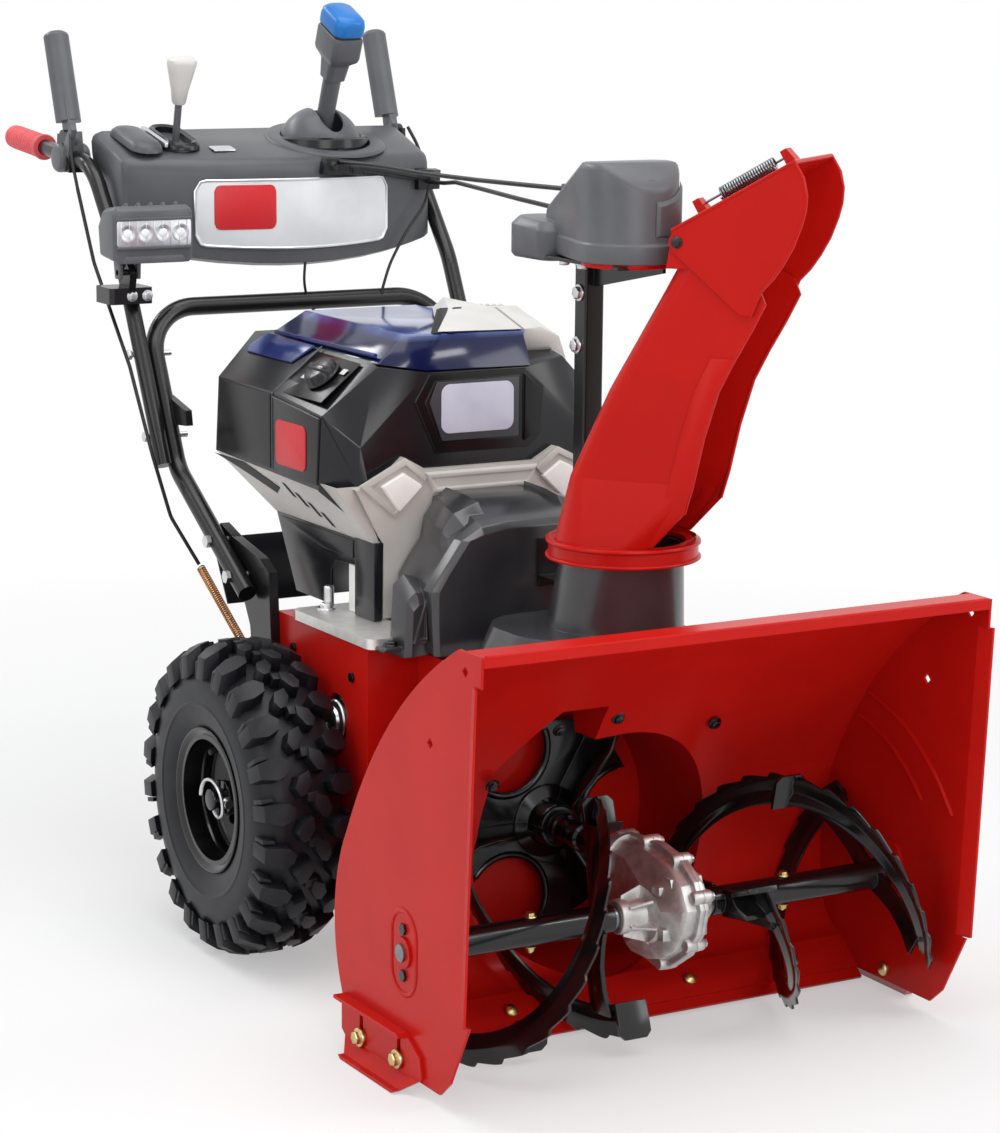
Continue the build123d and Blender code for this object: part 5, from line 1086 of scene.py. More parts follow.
def make_silver_parts():
    """Silver band across the front, its lozenges, and the chin's slots and vent as flat slabs of painted
    shade.
    """
    band = []
    rings = []
    for outline, y in (
        ([(-82, 617), (82, 617), (70, 588), (-70, 588)], -169.5),
        ([(-78, 614), (78, 614), (68, 591), (-68, 591)], -174),
        ([(-74, 610), (74, 610), (66, 595), (-66, 595)], -174),
        ([(-72, 608), (72, 608), (64, 597), (-64, 597)], -172),
    ):
        rings.append([(x, y, z) for x, z in outline])
    band.append(loft(rings))
    band += [band_pad(-1), band_pad(1)]
    settle("silver_band", band, SILVER_ABS, "machine", "silver_plastic", edge=0.8)
    middle = [(-145, 604), (-113, 620), (-85, 601), (-119, 569)]
    pads = both_sides(front_slab(middle, -171, 5.5, 2.5))
    settle("silver_band_bright_pads", pads, BRIGHT_ABS, "machine", "silver_plastic", edge=0.8)
    # The chin's slots and vent are thin near-black slabs: painted shade stands for their depth.
    slots = []
    for i in range(4):
        y, z = 12 - 24 * i, 577 - 9.5 * i
        slots.append(on_chin([(y + 6, z + 7), (y - 2, z + 6), (y - 12, z - 11), (y - 4, z - 10)], 0.3, 0.5))
    slots.append(on_chin([(200, 598), (110, 598), (38, 574), (60, 563), (120, 580), (160, 590)], 0.3, 0.6))
    settle("chin_slots", slots, PAINTED_SHADE_BLACK, "machine", "black_plastic")


def make_motor_shroud():
    """Black lower shroud with a window on each side, and the motor's mount columns and bolts."""
    side = [
        (-166, 433.4), (-166, 530), (110, 530), (52, 433.4), (-48, 433.4), (-48, 480), (-58, 492),
        (-118, 496), (-120, 433.4),
    ]
    forms = []
    for hand in (-1, 1):
        forms.append(side_slab(side, hand * 150, -hand * 3.5))
        forms.append(side_slab([(-28, 504), (96, 526), (-28, 527), (-112, 527), (-112, 504)], hand * 150,
                               hand * 1.6))
    forms += both_sides(front_slab([(-152, 433.4), (-141, 433.4), (-139, 532), (-152, 532)], -118, 53))
    forms.append(prism([(-150, 433.4), (150, 433.4), (150, 530), (-150, 530)], (0, 50, 0), (1, 0, 0),
                       (0, 0.5, 0.866), 3.0))
    settle("motor_shroud_moulding", forms, BLACK_ABS, "machine", "black_plastic", "motor_shroud", edge=1.6)
    column = [(-92, 433.4), (-92, 494), (-122, 494), (-122, 433.4)]
    columns = [side_slab(column, hand * 141, hand * 6) for hand in (-1, 1)]
    settle("motor_mount_columns", columns, BRIGHT_ABS, "machine", "silver_plastic", edge=1.0)
    bolts = []
    for hand in (-1, 1):
        bolts += hex_head((hand * 168, -70, 433), (0, 0, 1), 8, 8, 1.5)
        bolts.append(lathe([(0, 0), (0, 6.5), (26, 6.5), (28, 5), (28, 0)], (hand * 160, -62, 433), (0, 0, 1),
                           18))
    settle("motor_mount_bolts", bolts, BRIGHT_ZINC, "machine", "zinc_steel", edge=0.5)


def cover_section(y, shrink, low, rise):
    """One (x, z) ring of the belt cover at y."""
    base = max(shrink, 0) * 0.8
    half = [(142 - base, low), (144 - base, 452), (146 - shrink, 494), (132 - shrink, 516),
            (104 - shrink, 554), (74, 568 + rise), (40, 573 + rise)]
    outline = [(-x, z) for x, z in half] + [(x, z) for x, z in reversed(half)]
    return [(x, y, z) for x, z in outline]


def make_belt_cover():
    """Moulded belt cover: stepped crown, side lobes with dished panels and foot tabs."""
    rings = [
        cover_section(-178, 24, 434, 20), cover_section(-236, 8, 434, 17), cover_section(-288, 0, 420, 6),
        cover_section(-303, 3, 414, 0), cover_section(-310, 10, 414, -8),
    ]
    forms = [loft(rings)]
    ridge = [
        [(-x, y, z) for x, z in (
            (122 + grow, 520 + lift), (114 + grow, 560 + lift), (98 + grow, 582 + lift), (56, 594 + lift),
            (52, 556), (96, 520),
        )]
        for y, grow, lift in ((-180, -26, 4), (-232, -12, 2), (-262, -8, -2), (-284, -16, -22))
    ]
    forms += both_sides(loft(ridge))
    lobe = [
        [(-138, -236, 434), (-138, -236, 494), (-150, -236, 498), (-160, -236, 488), (-164, -236, 434)],
        [(-138, -258, 412), (-138, -258, 505), (-158, -258, 510), (-172, -258, 498), (-176, -258, 412)],
        [(-138, -286, 412), (-138, -286, 488), (-156, -286, 492), (-168, -286, 482), (-171, -286, 412)],
        [(-140, -293, 414), (-140, -293, 476), (-154, -293, 478), (-162, -293, 470), (-164, -293, 414)],
    ]
    forms += both_sides(loft(lobe))
    dish = [
        [(-144, -291, 430), (-163, -291, 430), (-144, -287, 486)],
        [(-144, -297, 430), (-163, -297, 430), (-144, -293, 486)],
        [(-146, -297.5, 436), (-157, -297.5, 436), (-146, -294, 472)],
        [(-147, -293, 437), (-155, -293, 437), (-147, -291, 468)],
    ]
    forms += both_sides(loft(dish))
    for hand in (-1, 1):
        rib = [(hand * 20 - 3, -311.5, 420), (hand * 20 + 3, -311.5, 420), (hand * 12 + 8, -306, 560),
               (hand * 12 - 8, -306, 560)]
        back = [(x, y + 8, z) for x, y, z in rib]
        forms.append(loft([rib, back]))
        tab = round_outline(40, 26, 6, 4, (hand * 178, -268))
        forms.append(flat_slab(tab, 420.2, 5, 1.0))
    # Painted sheen: the belt cover's charcoal is lifted above black.
    settle("belt_cover_moulding", forms, CHARCOAL_PAINTED_SHEEN, "machine", "black_plastic", "belt_cover", edge=2.6,
           crease=16)
    bolts = hex_heads(((-180, -268, 425), (180, -268, 425)), (0, 0, 1), 7, 6, 1.4)
    settle("belt_cover_bolts", bolts, BLACK_GLOSS, "machine", "black_paint", edge=0.5)


def make_lid():
    """Tinted lid: thin faceted shell with a front skirt, latch slats, hinge rod and a pale ridge."""
    outer = [
        [(-73, -158, 742), (78, -158, 741), (80, -120, 757), (80, 165, 757.6), (-130, 165, 757.6),
         (-133, -142, 751)],
        [(-86, -136, 784), (78, -136, 782), (78, -120, 786), (78, 150, 787), (-88, 150, 787),
         (-90, -130, 786)],
    ]
    inner = [
        [(-71, -155, 742), (75, -155, 741), (77, -120, 757), (77, 162, 757.6), (-126, 162, 757.6),
         (-129, -140, 751)],
        [(-84, -133, 781), (75, -133, 779), (75, -120, 783), (75, 147, 784), (-85, 147, 784),
         (-87, -128, 783)],
    ]
    shell = loft([inner[1], inner[0], outer[0], outer[1]])
    settle("lid_shell", [shell], BLUE_CLEAR, "battery_lid", "blue_tint", "battery_lid", edge=1.4)
    # The latch slats take the same near-black painted shade.
    slats = []
    for shift in (0, 20):
        slats.append(hull([
            (-52 + shift, -137, 785), (-40 + shift, -137, 785), (4 + shift, -52, 806), (16 + shift, -52, 806),
            (-52 + shift, -130, 785), (-40 + shift, -130, 785), (4 + shift, -42, 803), (16 + shift, -42, 803),
        ]))
    settle("lid_latch_slats", slats, PAINTED_SHADE_BLACK, "battery_lid", "blue_tint", edge=0.6)
    rod = tube([(-129.5, -130, 760.5), (-129.5, 152, 760.5)], 3.0, 14)
    settle("lid_hinge_rod", [rod], BLUE_GLASS, "battery_lid", "blue_tint")
    ridge = hull([
        (-44, -134, 786.5), (78, -135, 784), (78, 104, 787.2), (0, -48, 787.2), (12, -60, 804.5),
        (78, -62, 804.5), (78, 74, 804.5),
    ])
    settle("lid_pale_ridge", [ridge], LIGHT_ABS, "battery_lid", "light_grey_plastic", edge=2.2)


def make_vent_cover():
    """Light-grey vent moulding with clipped corners and a row of louvres along its top."""
    moulding = hull([
        (83, -118, 757.3), (83, -132, 784), (83, -60, 805), (112, -60, 805), (114, -122, 784),
        (143, -118, 770), (158, -104, 748), (176, -90, 719.5), (128, -120, 757.3), (83, 148, 757.3),
        (83, 146, 784), (108, 146, 784), (150, 146, 768), (171, 146, 736), (177, 140, 719.5),
        (128, 148, 757.3),
    ])
    settle(
        "vent_cover_moulding", [moulding], LIGHT_ABS, "machine", "light_grey_plastic", "vent_cover", edge=3.0,
    )
    louvres = []
    for i in range(11):
        y = -44 + 17 * i
        drop = (y + 60) * 0.098
        louvres.append(hull([
            (a, b, c - drop) for a, b, c in (
                (96, y, 804), (148, y, 782), (96, y + 8, 804), (148, y + 8, 782), (98, y, 808), (150, y, 785),
                (98, y + 3, 808), (150, y + 3, 785),
            )
        ]))
    settle("vent_louvres", louvres, LIGHT_ABS, "machine", "light_grey_plastic", edge=0.8)
    panel = hull([
        (120, -121, 720), (128, -124, 757), (152, -112, 746), (166, -100, 722), (140, -116, 700),
        (120, -118, 700),
    ])
    settle("vent_corner_panel", [panel], SILVER_ABS, "machine", "light_grey_plastic", edge=1.5)


def make_dial():
    """Power dial with a fluted rim and a finger bar."""
    out = SHOULDER_OUT
    centre = Vector((-166, -62, 727.7)) + out * 3.0
    side = Vector((0, -1, 0))
    up = out.cross(side)
    rings = []
    for height, radius, flute in ((0, 25, 0), (2, 25, 0), (2.6, 22.6, 0.5), (11, 21.4, 0.8),
                                  (13.6, 19.4, 0.4), (14.2, 12, 0)):
        ring = []
        for i in range(96):
            turn = tau * i / 96
            r = radius + flute * cos(16 * turn)
            ring.append(centre + out * height + side * (r * cos(turn)) + up * (r * sin(turn)))
        rings.append(ring)
    grip = [(-20, -4.5), (20, -4.5), (21, 0), (20, 4.5), (-20, 4.5), (-21, 0)]
    bar = prism(grip, centre + out * 12, side, up, 5, 1.5)
    settle("dial_knob", [loft(rings), bar], BLACK_ABS, "dial", "black_plastic", "dial", edge=0.9)
    pointer = prism([(10, -1.0), (19, -1.0), (19, 1.0), (10, 1.0)], centre + out * 17, side, up, 0.6)
    settle("dial_pointer", [pointer], LIGHT_ABS, "dial", "black_plastic")


# ---- Chute, hood and head cover ----------------------------------------------------------

CHUTE_Y = -507.0
CHUTE_TURN = radians(37)
CHUTE_OUT = Vector((sin(CHUTE_TURN), -cos(CHUTE_TURN), 0))
CHUTE_ACROSS = Vector((-cos(CHUTE_TURN), -sin(CHUTE_TURN), 0))
HINGE_U, HINGE_Z = 84.0, 936.0
HOOD_TIP = (218, 1030)


def chute_spot(u, v, z):
    """Point from the chute's axis: u towards its throw, v across it."""
    return Vector((0, CHUTE_Y, z)) + CHUTE_OUT * u + CHUTE_ACROSS * v


def chute_slab(outline, v, depth):
    """Slab on the chute's side from (u, z) places."""
    return prism(outline, chute_spot(0, v, 0), CHUTE_OUT, (0, 0, 1), depth)


def make_chute_details():
    """Raised strips, folded edges and rolled rings of the chute; edges, bolts and spring of its hood."""
    front = [(60, 586), (98, 628), (107, 660), (119, 716), (135, 770), (154, 808)]
    inner = [(126, 808), (107, 770), (91, 716), (79, 660), (70, 628), (38, 592)]
    forms = []
    for hand in (-1, 1):
        forms.append(chute_slab(front + inner, hand * 64.8, hand * 2.4))
        edge = front[1:] + [(157, 813), (172, 840), (188, 872)]
        forms.append(tube([chute_spot(u - 1, hand * 63.5, z) for u, z in edge], 2.3, 10))
    ring = (0, CHUTE_Y, 561)
    forms.append(lathe([(0, 86), (0, 90.5), (2, 91.6), (4, 90.5), (4, 86)], ring, (0, 0, 1), 72))
    forms.append(lathe([(18, 84), (17, 89), (19, 91.2), (22.4, 90.4), (23, 84)], ring, (0, 0, 1), 72))
    settle("chute_pressed_strips", forms, RED, "chute", "red_paint", edge=0.5)

    low_u, low_z = 77.0, 949.0
    brow = [HOOD_TIP, (229, 1012), (233, 994), (232, 977), (228, 961), (219, 937), (208, 917), (197, 901),
            (184, 887), (172, 858)]
    forms = []
    for hand in (-1, 1):
        side = hand * 68.2
        forms.append(tube([chute_spot(u, side, z) for u, z in brow], 2.2, 8))
        forms.append(tube([chute_spot(low_u, side, low_z), chute_spot(217, side, 1029)], 2.2, 8))
    forms.append(tube([chute_spot(218, -68, 1029.5), chute_spot(218, 68, 1029.5)], 2.6, 10))
    settle("hood_folded_edges", forms, RED, "hood", "red_paint")
    heads = []
    for hand in (-1, 1):
        axis = CHUTE_ACROSS * hand
        heads += hex_head(chute_spot(HINGE_U, hand * 69, HINGE_Z), axis, 5.5, 5, 1.3)
    settle("hood_bolt_heads", heads, BLACK_GLOSS, "hood", "black_paint", edge=0.5)

    rise = Vector((HOOD_TIP[0] - HINGE_U, HOOD_TIP[1] - HINGE_Z)).normalized()
    low = Vector((HINGE_U, HINGE_Z)) + Vector((-rise.y, rise.x)) * 14 + rise * 2
    high = Vector(HOOD_TIP)
    slope = (high - low).normalized()
    lift = Vector((-slope.y, slope.x)) * 16
    start, end = low + slope * 26.3 + lift, high - slope * 28.3 + lift
    spring_start, spring_end = chute_spot(start.x, 0, start.y), chute_spot(end.x, 0, end.y)
    coil_start, coil_end = spring_start.lerp(spring_end, 0.2), spring_start.lerp(spring_end, 0.88)
    spring = [
        coil(coil_start, coil_end, 6.8, 1.4, 22), tube([spring_start, coil_start], 1.5, 8),
        tube([coil_end, spring_end], 1.5, 8),
    ]
    settle("hood_spring_coil", spring, STEEL, "hood", "steel", "deflector_spring")


HEAD_RADIUS, SHIELD_RADIUS = 57, 57.4


def head_ring(grow, height):
    """Ring of the head cover's outline; height gives z from y."""
    left = []
    for i in range(13):
        turn = radians(270 - 90 * i / 12)
        left.append(((HEAD_RADIUS + grow) * cos(turn), CHUTE_Y + (HEAD_RADIUS + grow) * sin(turn)))
    left += [(-54 - grow, -485), (-44 - grow, -450), (-33 - grow, -412), (-23 - grow, -377),
             (-14 - grow, -345 + grow)]
    points = left + [(-x, y) for x, y in reversed(left[1:])]
    return [(x, y, height(y)) for x, y in points], len(left)


ROOF_FRONT_Y, ROOF_LEVEL_Y, ROOF_FALL_Y = -564, -529, -487
ROOF_FRONT_Z, ROOF_Z = 994, 1020.0


def head_roof(y):
    """Height of the head cover's roof at y: a rise from the front, a level part and a long fall."""
    if y < ROOF_LEVEL_Y:
        return ROOF_FRONT_Z + (y - ROOF_FRONT_Y) * 26 / 35
    if y < ROOF_FALL_Y:
        return ROOF_Z
    return ROOF_Z - (y - ROOF_FALL_Y) * 60 / 143


def make_head_cover():
    """Cover of the turning gear: skirt, sloping roof, side box and cable anchor, with its shield,
    the gear's rim below it and the bolts of its post."""
    rings = []
    for grow, height in (
        (2.2, lambda y: 906.0), (2.2, lambda y: 927.0), (0.0, lambda y: 929.0),
        (0.0, lambda y: head_roof(y) - 9), (-1.2, lambda y: head_roof(y) - 4.5),
        (-4.2, lambda y: head_roof(y) - 1.2), (-9.0, head_roof),
    ):
        ring, half = head_ring(grow, height)
        rings.append(ring)
    corners, faces = loft(rings, capped=False)
    count = len(rings[0])
    for base in (0, len(corners) - count):
        for i in range(half - 1):
            left_a, left_b = base + i, base + i + 1
            right_a = base + (count - i) % count
            right_b = base + (count - i - 1) % count
            faces.append((left_a, left_b, right_b, right_a))
    forms = [(corners, faces)]
    forms.append(hull(
        [(x, y, 897) for x, y in round_outline(58, 88, 18, 5, (-14, -352))]
        + [(x, y, 902) for x, y in round_outline(66, 96, 22, 5, (-14, -352))]
        + [(x, y, 934 + (y + 352) * 0.06) for x, y in round_outline(66, 96, 22, 5, (-14, -352))]
        + [(x, y, 944 + (y + 352) * 0.06) for x, y in round_outline(50, 78, 18, 5, (-14, -352))]
    ))
    forms.append(flat_slab(round_outline(34, 16, 4, 3, (25, -346)), 936, 47, 1.0))
    settle("head_cover_moulding", forms, GREY_ABS, "machine", "grey_plastic", "chute_head_cover", edge=1.6,
           crease=40)
    bolts = hex_heads(((10.8, -383, 857), (10.8, -379, 794)), (-1, 0, 0), 8, 7)
    underside = [(x, y, 899.8) for x, y in ((-30, -455), (26, -470), (30, -430), (-22, -402))]
    bolts += hex_heads(underside, (0, 0, -1), 6.5, 7)
    gear = lathe([(0, 30), (0, 52), (2, 53.5), (5.8, 53.5), (5.8, 30)], (0, CHUTE_Y, 900), (0, 0, 1), 48)
    settle("turning_gear_rim", [gear], RED, "machine", "red_paint", edge=0.5)
    shield = []
    for lift, low, high in ((0.2, 270, 330), (3.4, 274, 326)):
        turns = [radians(low + (high - low) * i / 12) for i in range(13)]
        radius = SHIELD_RADIUS + lift
        edge = [(radius * cos(turn), CHUTE_Y + radius * sin(turn)) for turn in turns]
        shield.append(
            [(x, y, 936 + lift) for x, y in edge]
            + [(x, y, head_roof(y) - 16 - lift) for x, y in reversed(edge)]
        )
    settle("head_cover_shield", [loft(shield)], GREY_ABS, "machine", "grey_plastic", edge=0.8)
    settle("post_bolts", bolts, BRIGHT_ZINC, "machine", "zinc_steel", edge=0.5)


# ---- Console and controls ----------------------------------------------------------------

CONSOLE_DATUM = Vector((0, 368, 974))
CONSOLE_RISE = Vector((0, 138, 32)).normalized()
CONSOLE_OUT = Vector((1, 0, 0)).cross(CONSOLE_RISE)
CONSOLE_HALF, CONSOLE_FRONT_Y, CONSOLE_BOW = 235, 348.6, 56
PANEL_STEPS = 40


def on_console(points, lift, depth, taper):
    """Slab on the console's sloping top from (x, y) places."""
    outline = [(x, (y - CONSOLE_DATUM.y) / CONSOLE_RISE.y) for x, y in points]
    return prism(outline, CONSOLE_DATUM + CONSOLE_OUT * lift, (1, 0, 0), CONSOLE_RISE, depth, taper)


def console_front(x):
    """How far forward the console's curved front stands at x."""
    return CONSOLE_FRONT_Y + CONSOLE_BOW * (x / CONSOLE_HALF) ** 2


def console_loop(centre, sizes):
    """Rounded ring on the console's top from (width, length, radius, lift) sizes."""
    rings = []
    for width, length, radius, lift in sizes:
        ring = []
        for x, y in round_outline(width, length, radius, 6, centre):
            rise = CONSOLE_RISE * ((y - CONSOLE_DATUM.y) / CONSOLE_RISE.y)
            ring.append(CONSOLE_DATUM + CONSOLE_OUT * lift + Vector((x, 0, 0)) + rise)
        rings.append(ring)
    return rings


def panel_stations(x_low, x_high, corner, sag):
    """(x, cut of the rounded corners, sag of the lower edge) across a plate on the front."""
    middle = (x_low + x_high) / 2
    stations = []
    for i in range(PANEL_STEPS + 1):
        x = x_low + (x_high - x_low) * i / PANEL_STEPS
        inset = min(x - x_low, x_high - x)
        trim = corner - (max(corner ** 2 - (corner - inset) ** 2, 0) ** 0.5) if inset < corner else 0.0
        stations.append((x, trim, sag * (1 - ((x - middle) / (x_high - middle)) ** 2)))
    return stations


def front_panel(x_low, x_high, z_low, z_high, corner, sag, lift):
    """Plate on the console's curved front with rounded corners and a sagging lower edge."""
    rows = []
    for x, trim, drop in panel_stations(x_low, x_high, corner, sag):
        low, high, y = z_low + trim - drop, z_high - trim, console_front(x)
        rows.append([(x, y + 3, low), (x, y - lift, low + 0.2), (x, y - lift + 0.6, high - 0.2),
                     (x, y + 4, high)])
    return loft(rows)


def front_border(x_low, x_high, z_low, z_high, corner, sag, radius):
    """Raised bead round such a plate."""
    top, bottom = [], []
    for x, trim, drop in panel_stations(x_low, x_high, corner, sag):
        y = console_front(x)
        bottom.append((x, y - 1.8, z_low + trim - drop))
        top.append((x, y - 1.0, z_high - trim))
    path = bottom + list(reversed(top))
    return tube(path + path[:2], radius, 8)


def make_console_shell():
    """Console moulding: curved front and underside, softened ends, rounded upper edges."""
    side = [
        (348, 0), (348.5, 30), (350, 70), (352, 110), (354, 122), (360, 130), (368, 134), (440, 150.6),
        (506, 166), (516, 164), (522, 156), (520, 140), (496, 70), (452, 34), (388, 2), (364, -4),
    ]
    rings = []
    for x in (-235, -231, -224, -205, -180, -150, -110, -60, -20, 20, 60, 110, 150, 180, 205, 224, 231, 235):
        share = x / CONSOLE_HALF
        end = max(0.0, (abs(x) - 222) / 13)
        shrink = 1 - 0.055 * end ** 2
        bow = CONSOLE_BOW * share ** 2
        low = 829 + 26 * share ** 2
        ring = []
        for y, rise in side:
            z = 840 + rise if rise > 60 else low + rise * (900 - low) / 60
            y = y + bow * max(0.0, 1 - (y - 348) / 150)
            y = 440 + (y - 440) * shrink
            z = 910 + (z - 910) * shrink
            ring.append((x, y, z))
        rings.append(ring)
    settle("console_shell", [loft(rings)], CONSOLE_ABS, "machine", "grey_plastic", "console", crease=50)


def make_console_details():
    """Slot guard, mound, strips, dome ring, blank plate and badge, cable bracket and control wires."""
    slot = (-140, 455)
    guard = loft(console_loop(slot, (
        (30, 80, 14, 0), (52, 104, 24, 0), (50, 102, 23, 5), (42, 92, 20, 10), (30, 80, 14, 8),
    )), closed=True)
    settle("speed_slot_guard", [guard], BLACK_ABS, "machine", "grey_plastic")
    mound = loft(console_loop((-196, 452), (
        (46, 110, 22, -1), (44, 106, 21, 5), (36, 92, 17, 10), (22, 66, 10, 13), (8, 30, 3, 14),
    )))
    settle("console_mound", [mound], CONSOLE_ABS, "machine", "grey_plastic")
    strips = [on_console(round_outline(7, 84, 3, 3, (-168, 455)), 3, 6, 1.0),
              on_console(round_outline(34, 22, 3, 3, (-86, 410)), 0, 1.6, 0.5)]
    settle("console_bright_strips", strips, BRIGHT_ZINC, "machine", "silver_plastic", edge=0.4)
    ring = lathe([(0, 61.2), (0, 70), (12, 69), (14, 66), (14.5, 63), (13, 61.2)], (87, 457, 982), (0, 0, 1),
                 64)
    settle("dome_ring_trim", [ring], BLACK_ABS, "machine", "grey_plastic")
    centre = CONSOLE_DATUM + Vector((87, 0, 0)) + CONSOLE_RISE * (72 / CONSOLE_RISE.y)
    apron = lathe([(-1, 64), (-1, 86), (1.5, 85), (3.4, 82), (3.4, 64)], centre, CONSOLE_OUT, 64)
    settle("dome_apron", [apron], CONSOLE_ABS, "machine", "grey_plastic")
    settle("console_blank_plate", [front_panel(-146, 148, 857, 944, 14, 7, 2.4)], PLATE_WHITE, "machine",
           "silver_plastic", edge=0.4)
    settle("console_plate_edge", [front_border(-146, 148, 857, 944, 14, 7, 2.2)], BRIGHT_ZINC, "machine",
           "silver_plastic")
    settle("console_blank_badge", [front_panel(-121, -34, 877, 938, 9, 0, 3.4)], RED_BADGE, "machine",
           "red_paint", edge=0.3)
    box = [front_slab([(34, 950), (98, 947), (104, 966), (40, 974)], 357, 15, 1.5)]
    box.append(hull([
        (96, 345, 952), (96, 345, 964), (96, 353, 952), (96, 353, 964), (214, 386, 934), (214, 386, 944),
        (214, 394, 934), (214, 394, 944),
    ]))
    box.append(front_slab([(206, 920), (244, 920), (246, 950), (206, 952)], 402, 18, 2.5))
    settle("cable_bracket_box", box, BLACK_ABS, "machine", "grey_plastic", edge=1.4)
    bolts = hex_heads(((52, 342, 961), (84, 342, 957), (228, 384, 938)), (0, -1, 0), 5.5, 5)
    settle("cable_bracket_bolts", bolts, BLACK_GLOSS, "machine", "black_paint", edge=0.4)
    loop = [(226, 386, 930), (214, 380, 900), (180, 366, 866), (150, 356, 826), (134, 348, 796),
            (128, 346, 778)]
    settle("control_wire_loop", [tube(smooth_path(loop), 2.2, 8)], CABLE_SHEATH, "machine", "black_plastic")
    drop = [(14, 352, 846), (10, 350, 800), (22, 352, 766), (46, 356, 744), (60, 362, 712)]
    settle("console_pull_wire", [tube(smooth_path(drop), 2.0, 8)], CABLE_SHEATH, "machine", "black_plastic")


STICK_FOOT = Vector((87, 457, 978))
STICK_LEAN = Vector((-4, -70, 154)).normalized()
SPEED_FOOT = Vector((-140, 455, 955))
SPEED_LEAN = Vector((0, -21, 93)).normalized()


def stem_ring(foot, lean, reach, outline):
    """Outline laid square across a leaning stem at a distance along it."""
    side = Vector((1, 0, -lean.x / lean.z)).normalized()
    up = lean.cross(side)
    return [foot + lean * reach + side * a + up * b for a, b in outline]


def stem_body(foot, lean, steps, sizes):
    """Skin round a leaning stem from (width, depth, corner radius, reach) sizes."""
    return loft([
        stem_ring(foot, lean, reach, round_outline(width, depth, radius, steps))
        for width, depth, radius, reach in sizes
    ])


def make_controls():
    """Thumb cap and head of the stick, speed lever and its knob."""
    cap = stem_body(STICK_FOOT, STICK_LEAN, 5, (
        (42.4, 64.4, 12, 205.0), (42.4, 64.4, 12, 188), (46, 68, 14, 188), (47, 69, 15, 200),
        (44, 66, 15, 208), (37, 58, 14, 212), (26, 45, 12, 214.5),
    ))
    settle("stick_thumb_cap", [cap], BLUE_ABS, "trigger", "blue_plastic", "trigger")
    head = stem_body(STICK_FOOT, STICK_LEAN, 4, (
        (27, 27, 8, 118), (29, 31, 8, 132), (34, 44, 8, 140), (43, 60, 8, 147), (45, 64, 8, 152),
        (45, 65, 8, 180), (42, 62, 8, 183.5),
    ))
    settle("stick_head_housing", [head], GREY_ABS, "stick", "grey_plastic", edge=0.8)
    stem = [
        tube([SPEED_FOOT, SPEED_FOOT + SPEED_LEAN * 104], 5.0, 16),
        lathe([(-7, 6.2), (-7, 15), (7, 15), (7, 6.2)], SPEED_FOOT, (1, 0, 0), 28),
    ]
    settle("speed_lever_stem", stem, GREY_ABS, "speed_lever", "light_grey_plastic")
    knob = stem_body(SPEED_FOOT, SPEED_LEAN, 5, (
        (15, 14, 6, 92), (19, 17, 7, 95), (24, 19, 8, 112), (36, 21, 9, 136), (42.5, 22, 10, 149),
        (41, 20, 9, 154), (33, 14, 6.5, 157),
    ))
    settle("speed_lever_knob", [knob], LIGHT_ABS, "speed_lever", "light_grey_plastic", "speed_lever")


def make_handle_details():
    """Ribbed grips, lever tops and clamps, return springs, cable tails and the frame's bearing caps."""
    along = Vector((0, 284, 23)).normalized()
    grips = []
    for side in (-1, 1):
        start = Vector((side * 250, 651, 962 + 171 * 23 / 284))
        profile = [(0, 11.2), (0, 17.6), (3, 18.6), (7, 18.2), (9, 16.2)]
        for i in range(11):
            base = 11 + i * 8.6
            profile += [(base, 16.2), (base + 1.2, 17.0), (base + 5.4, 17.0), (base + 6.6, 16.2),
                        (base + 7.6, 15.2)]
        profile += [(108, 16.8), (114, 16.6), (118, 14.5), (118.6, 10), (118.6, 0), (115, 0), (115, 11.2)]
        grips.append(lathe(profile, start, along, 36))
    settle("ribbed_grips", grips, CORAL_RUBBER, "machine", "coral_rubber", "grips")

    slope = Vector((0, 50, 142)).normalized()
    back = Vector((0, slope.z, -slope.y))
    for side, body in ((-1, "lever_left"), (1, "lever_right")):
        foot = Vector((side * 250, 550, 992)) + back * 4.8
        points = []
        for reach, radius in ((149.5, 18), (153, 16.5), (156, 12), (157.5, 6)):
            for i in range(13):
                turn = pi + pi * i / 12
                points.append(
                    foot + slope * reach + Vector((1, 0, 0)) * radius * cos(turn) + back * radius * sin(turn)
                )
            points.append(foot + slope * reach + Vector((radius, 0, 0)) + back * 1.5)
            points.append(foot + slope * reach - Vector((radius, 0, 0)) + back * 1.5)
        settle(body + "_round_top", [hull(points)], GREY_ABS, body, "grey_plastic")
    springs = [
        coil((side * 214.5, 211, 442.5), (side * 201.4, 97, 352), 5.0, 1.15, 42) for side in (-1, 1)
    ]
    settle("return_spring_coils", springs, COPPER, "machine", "copper_wire", "cable_springs")
    clamps = []
    for side in (-1, 1):
        clamps.append(lathe([(-23, 0), (-23, 17), (-19, 20), (19, 20), (23, 17), (23, 0)],
                            (side * 250, 556, 967), (1, 0, 0), 28))
        clamps.append(hull([
            (side * 250 + a, y, z) for a in (-12, 12)
            for y, z in ((536, 966), (572, 968), (566, 1002), (542, 1004))
        ]))
        clamps.append(hull([
            (side * 250 + a, y, z) for a in (-16, -8)
            for y, z in ((512, 1008), (520, 1014), (540, 990), (548, 976), (530, 968))
        ]))
    settle("lever_clamps", clamps, GREY_ABS, "machine", "grey_plastic", edge=1.2)
    tail = ((272, 480, 930), (271, 502, 972), (264, 522, 1002))
    tails = [tube(smooth_path([(side * x, y, z) for x, y, z in tail]), 2.4, 8) for side in (-1, 1)]
    settle("clutch_cable_tails", tails, CABLE_SHEATH, "machine", "black_plastic")
    cap = [(0, 0), (0, 25), (2, 25.6), (4, 24), (5, 17), (9, 15.5), (11, 11), (11, 0)]
    caps = [lathe(cap, (side * 200.2, -164, 313), (side, 0, 0), 32) for side in (-1, 1)]
    settle("frame_bearing_caps", caps, BRIGHT_ZINC, "machine", "zinc_steel", edge=0.5)


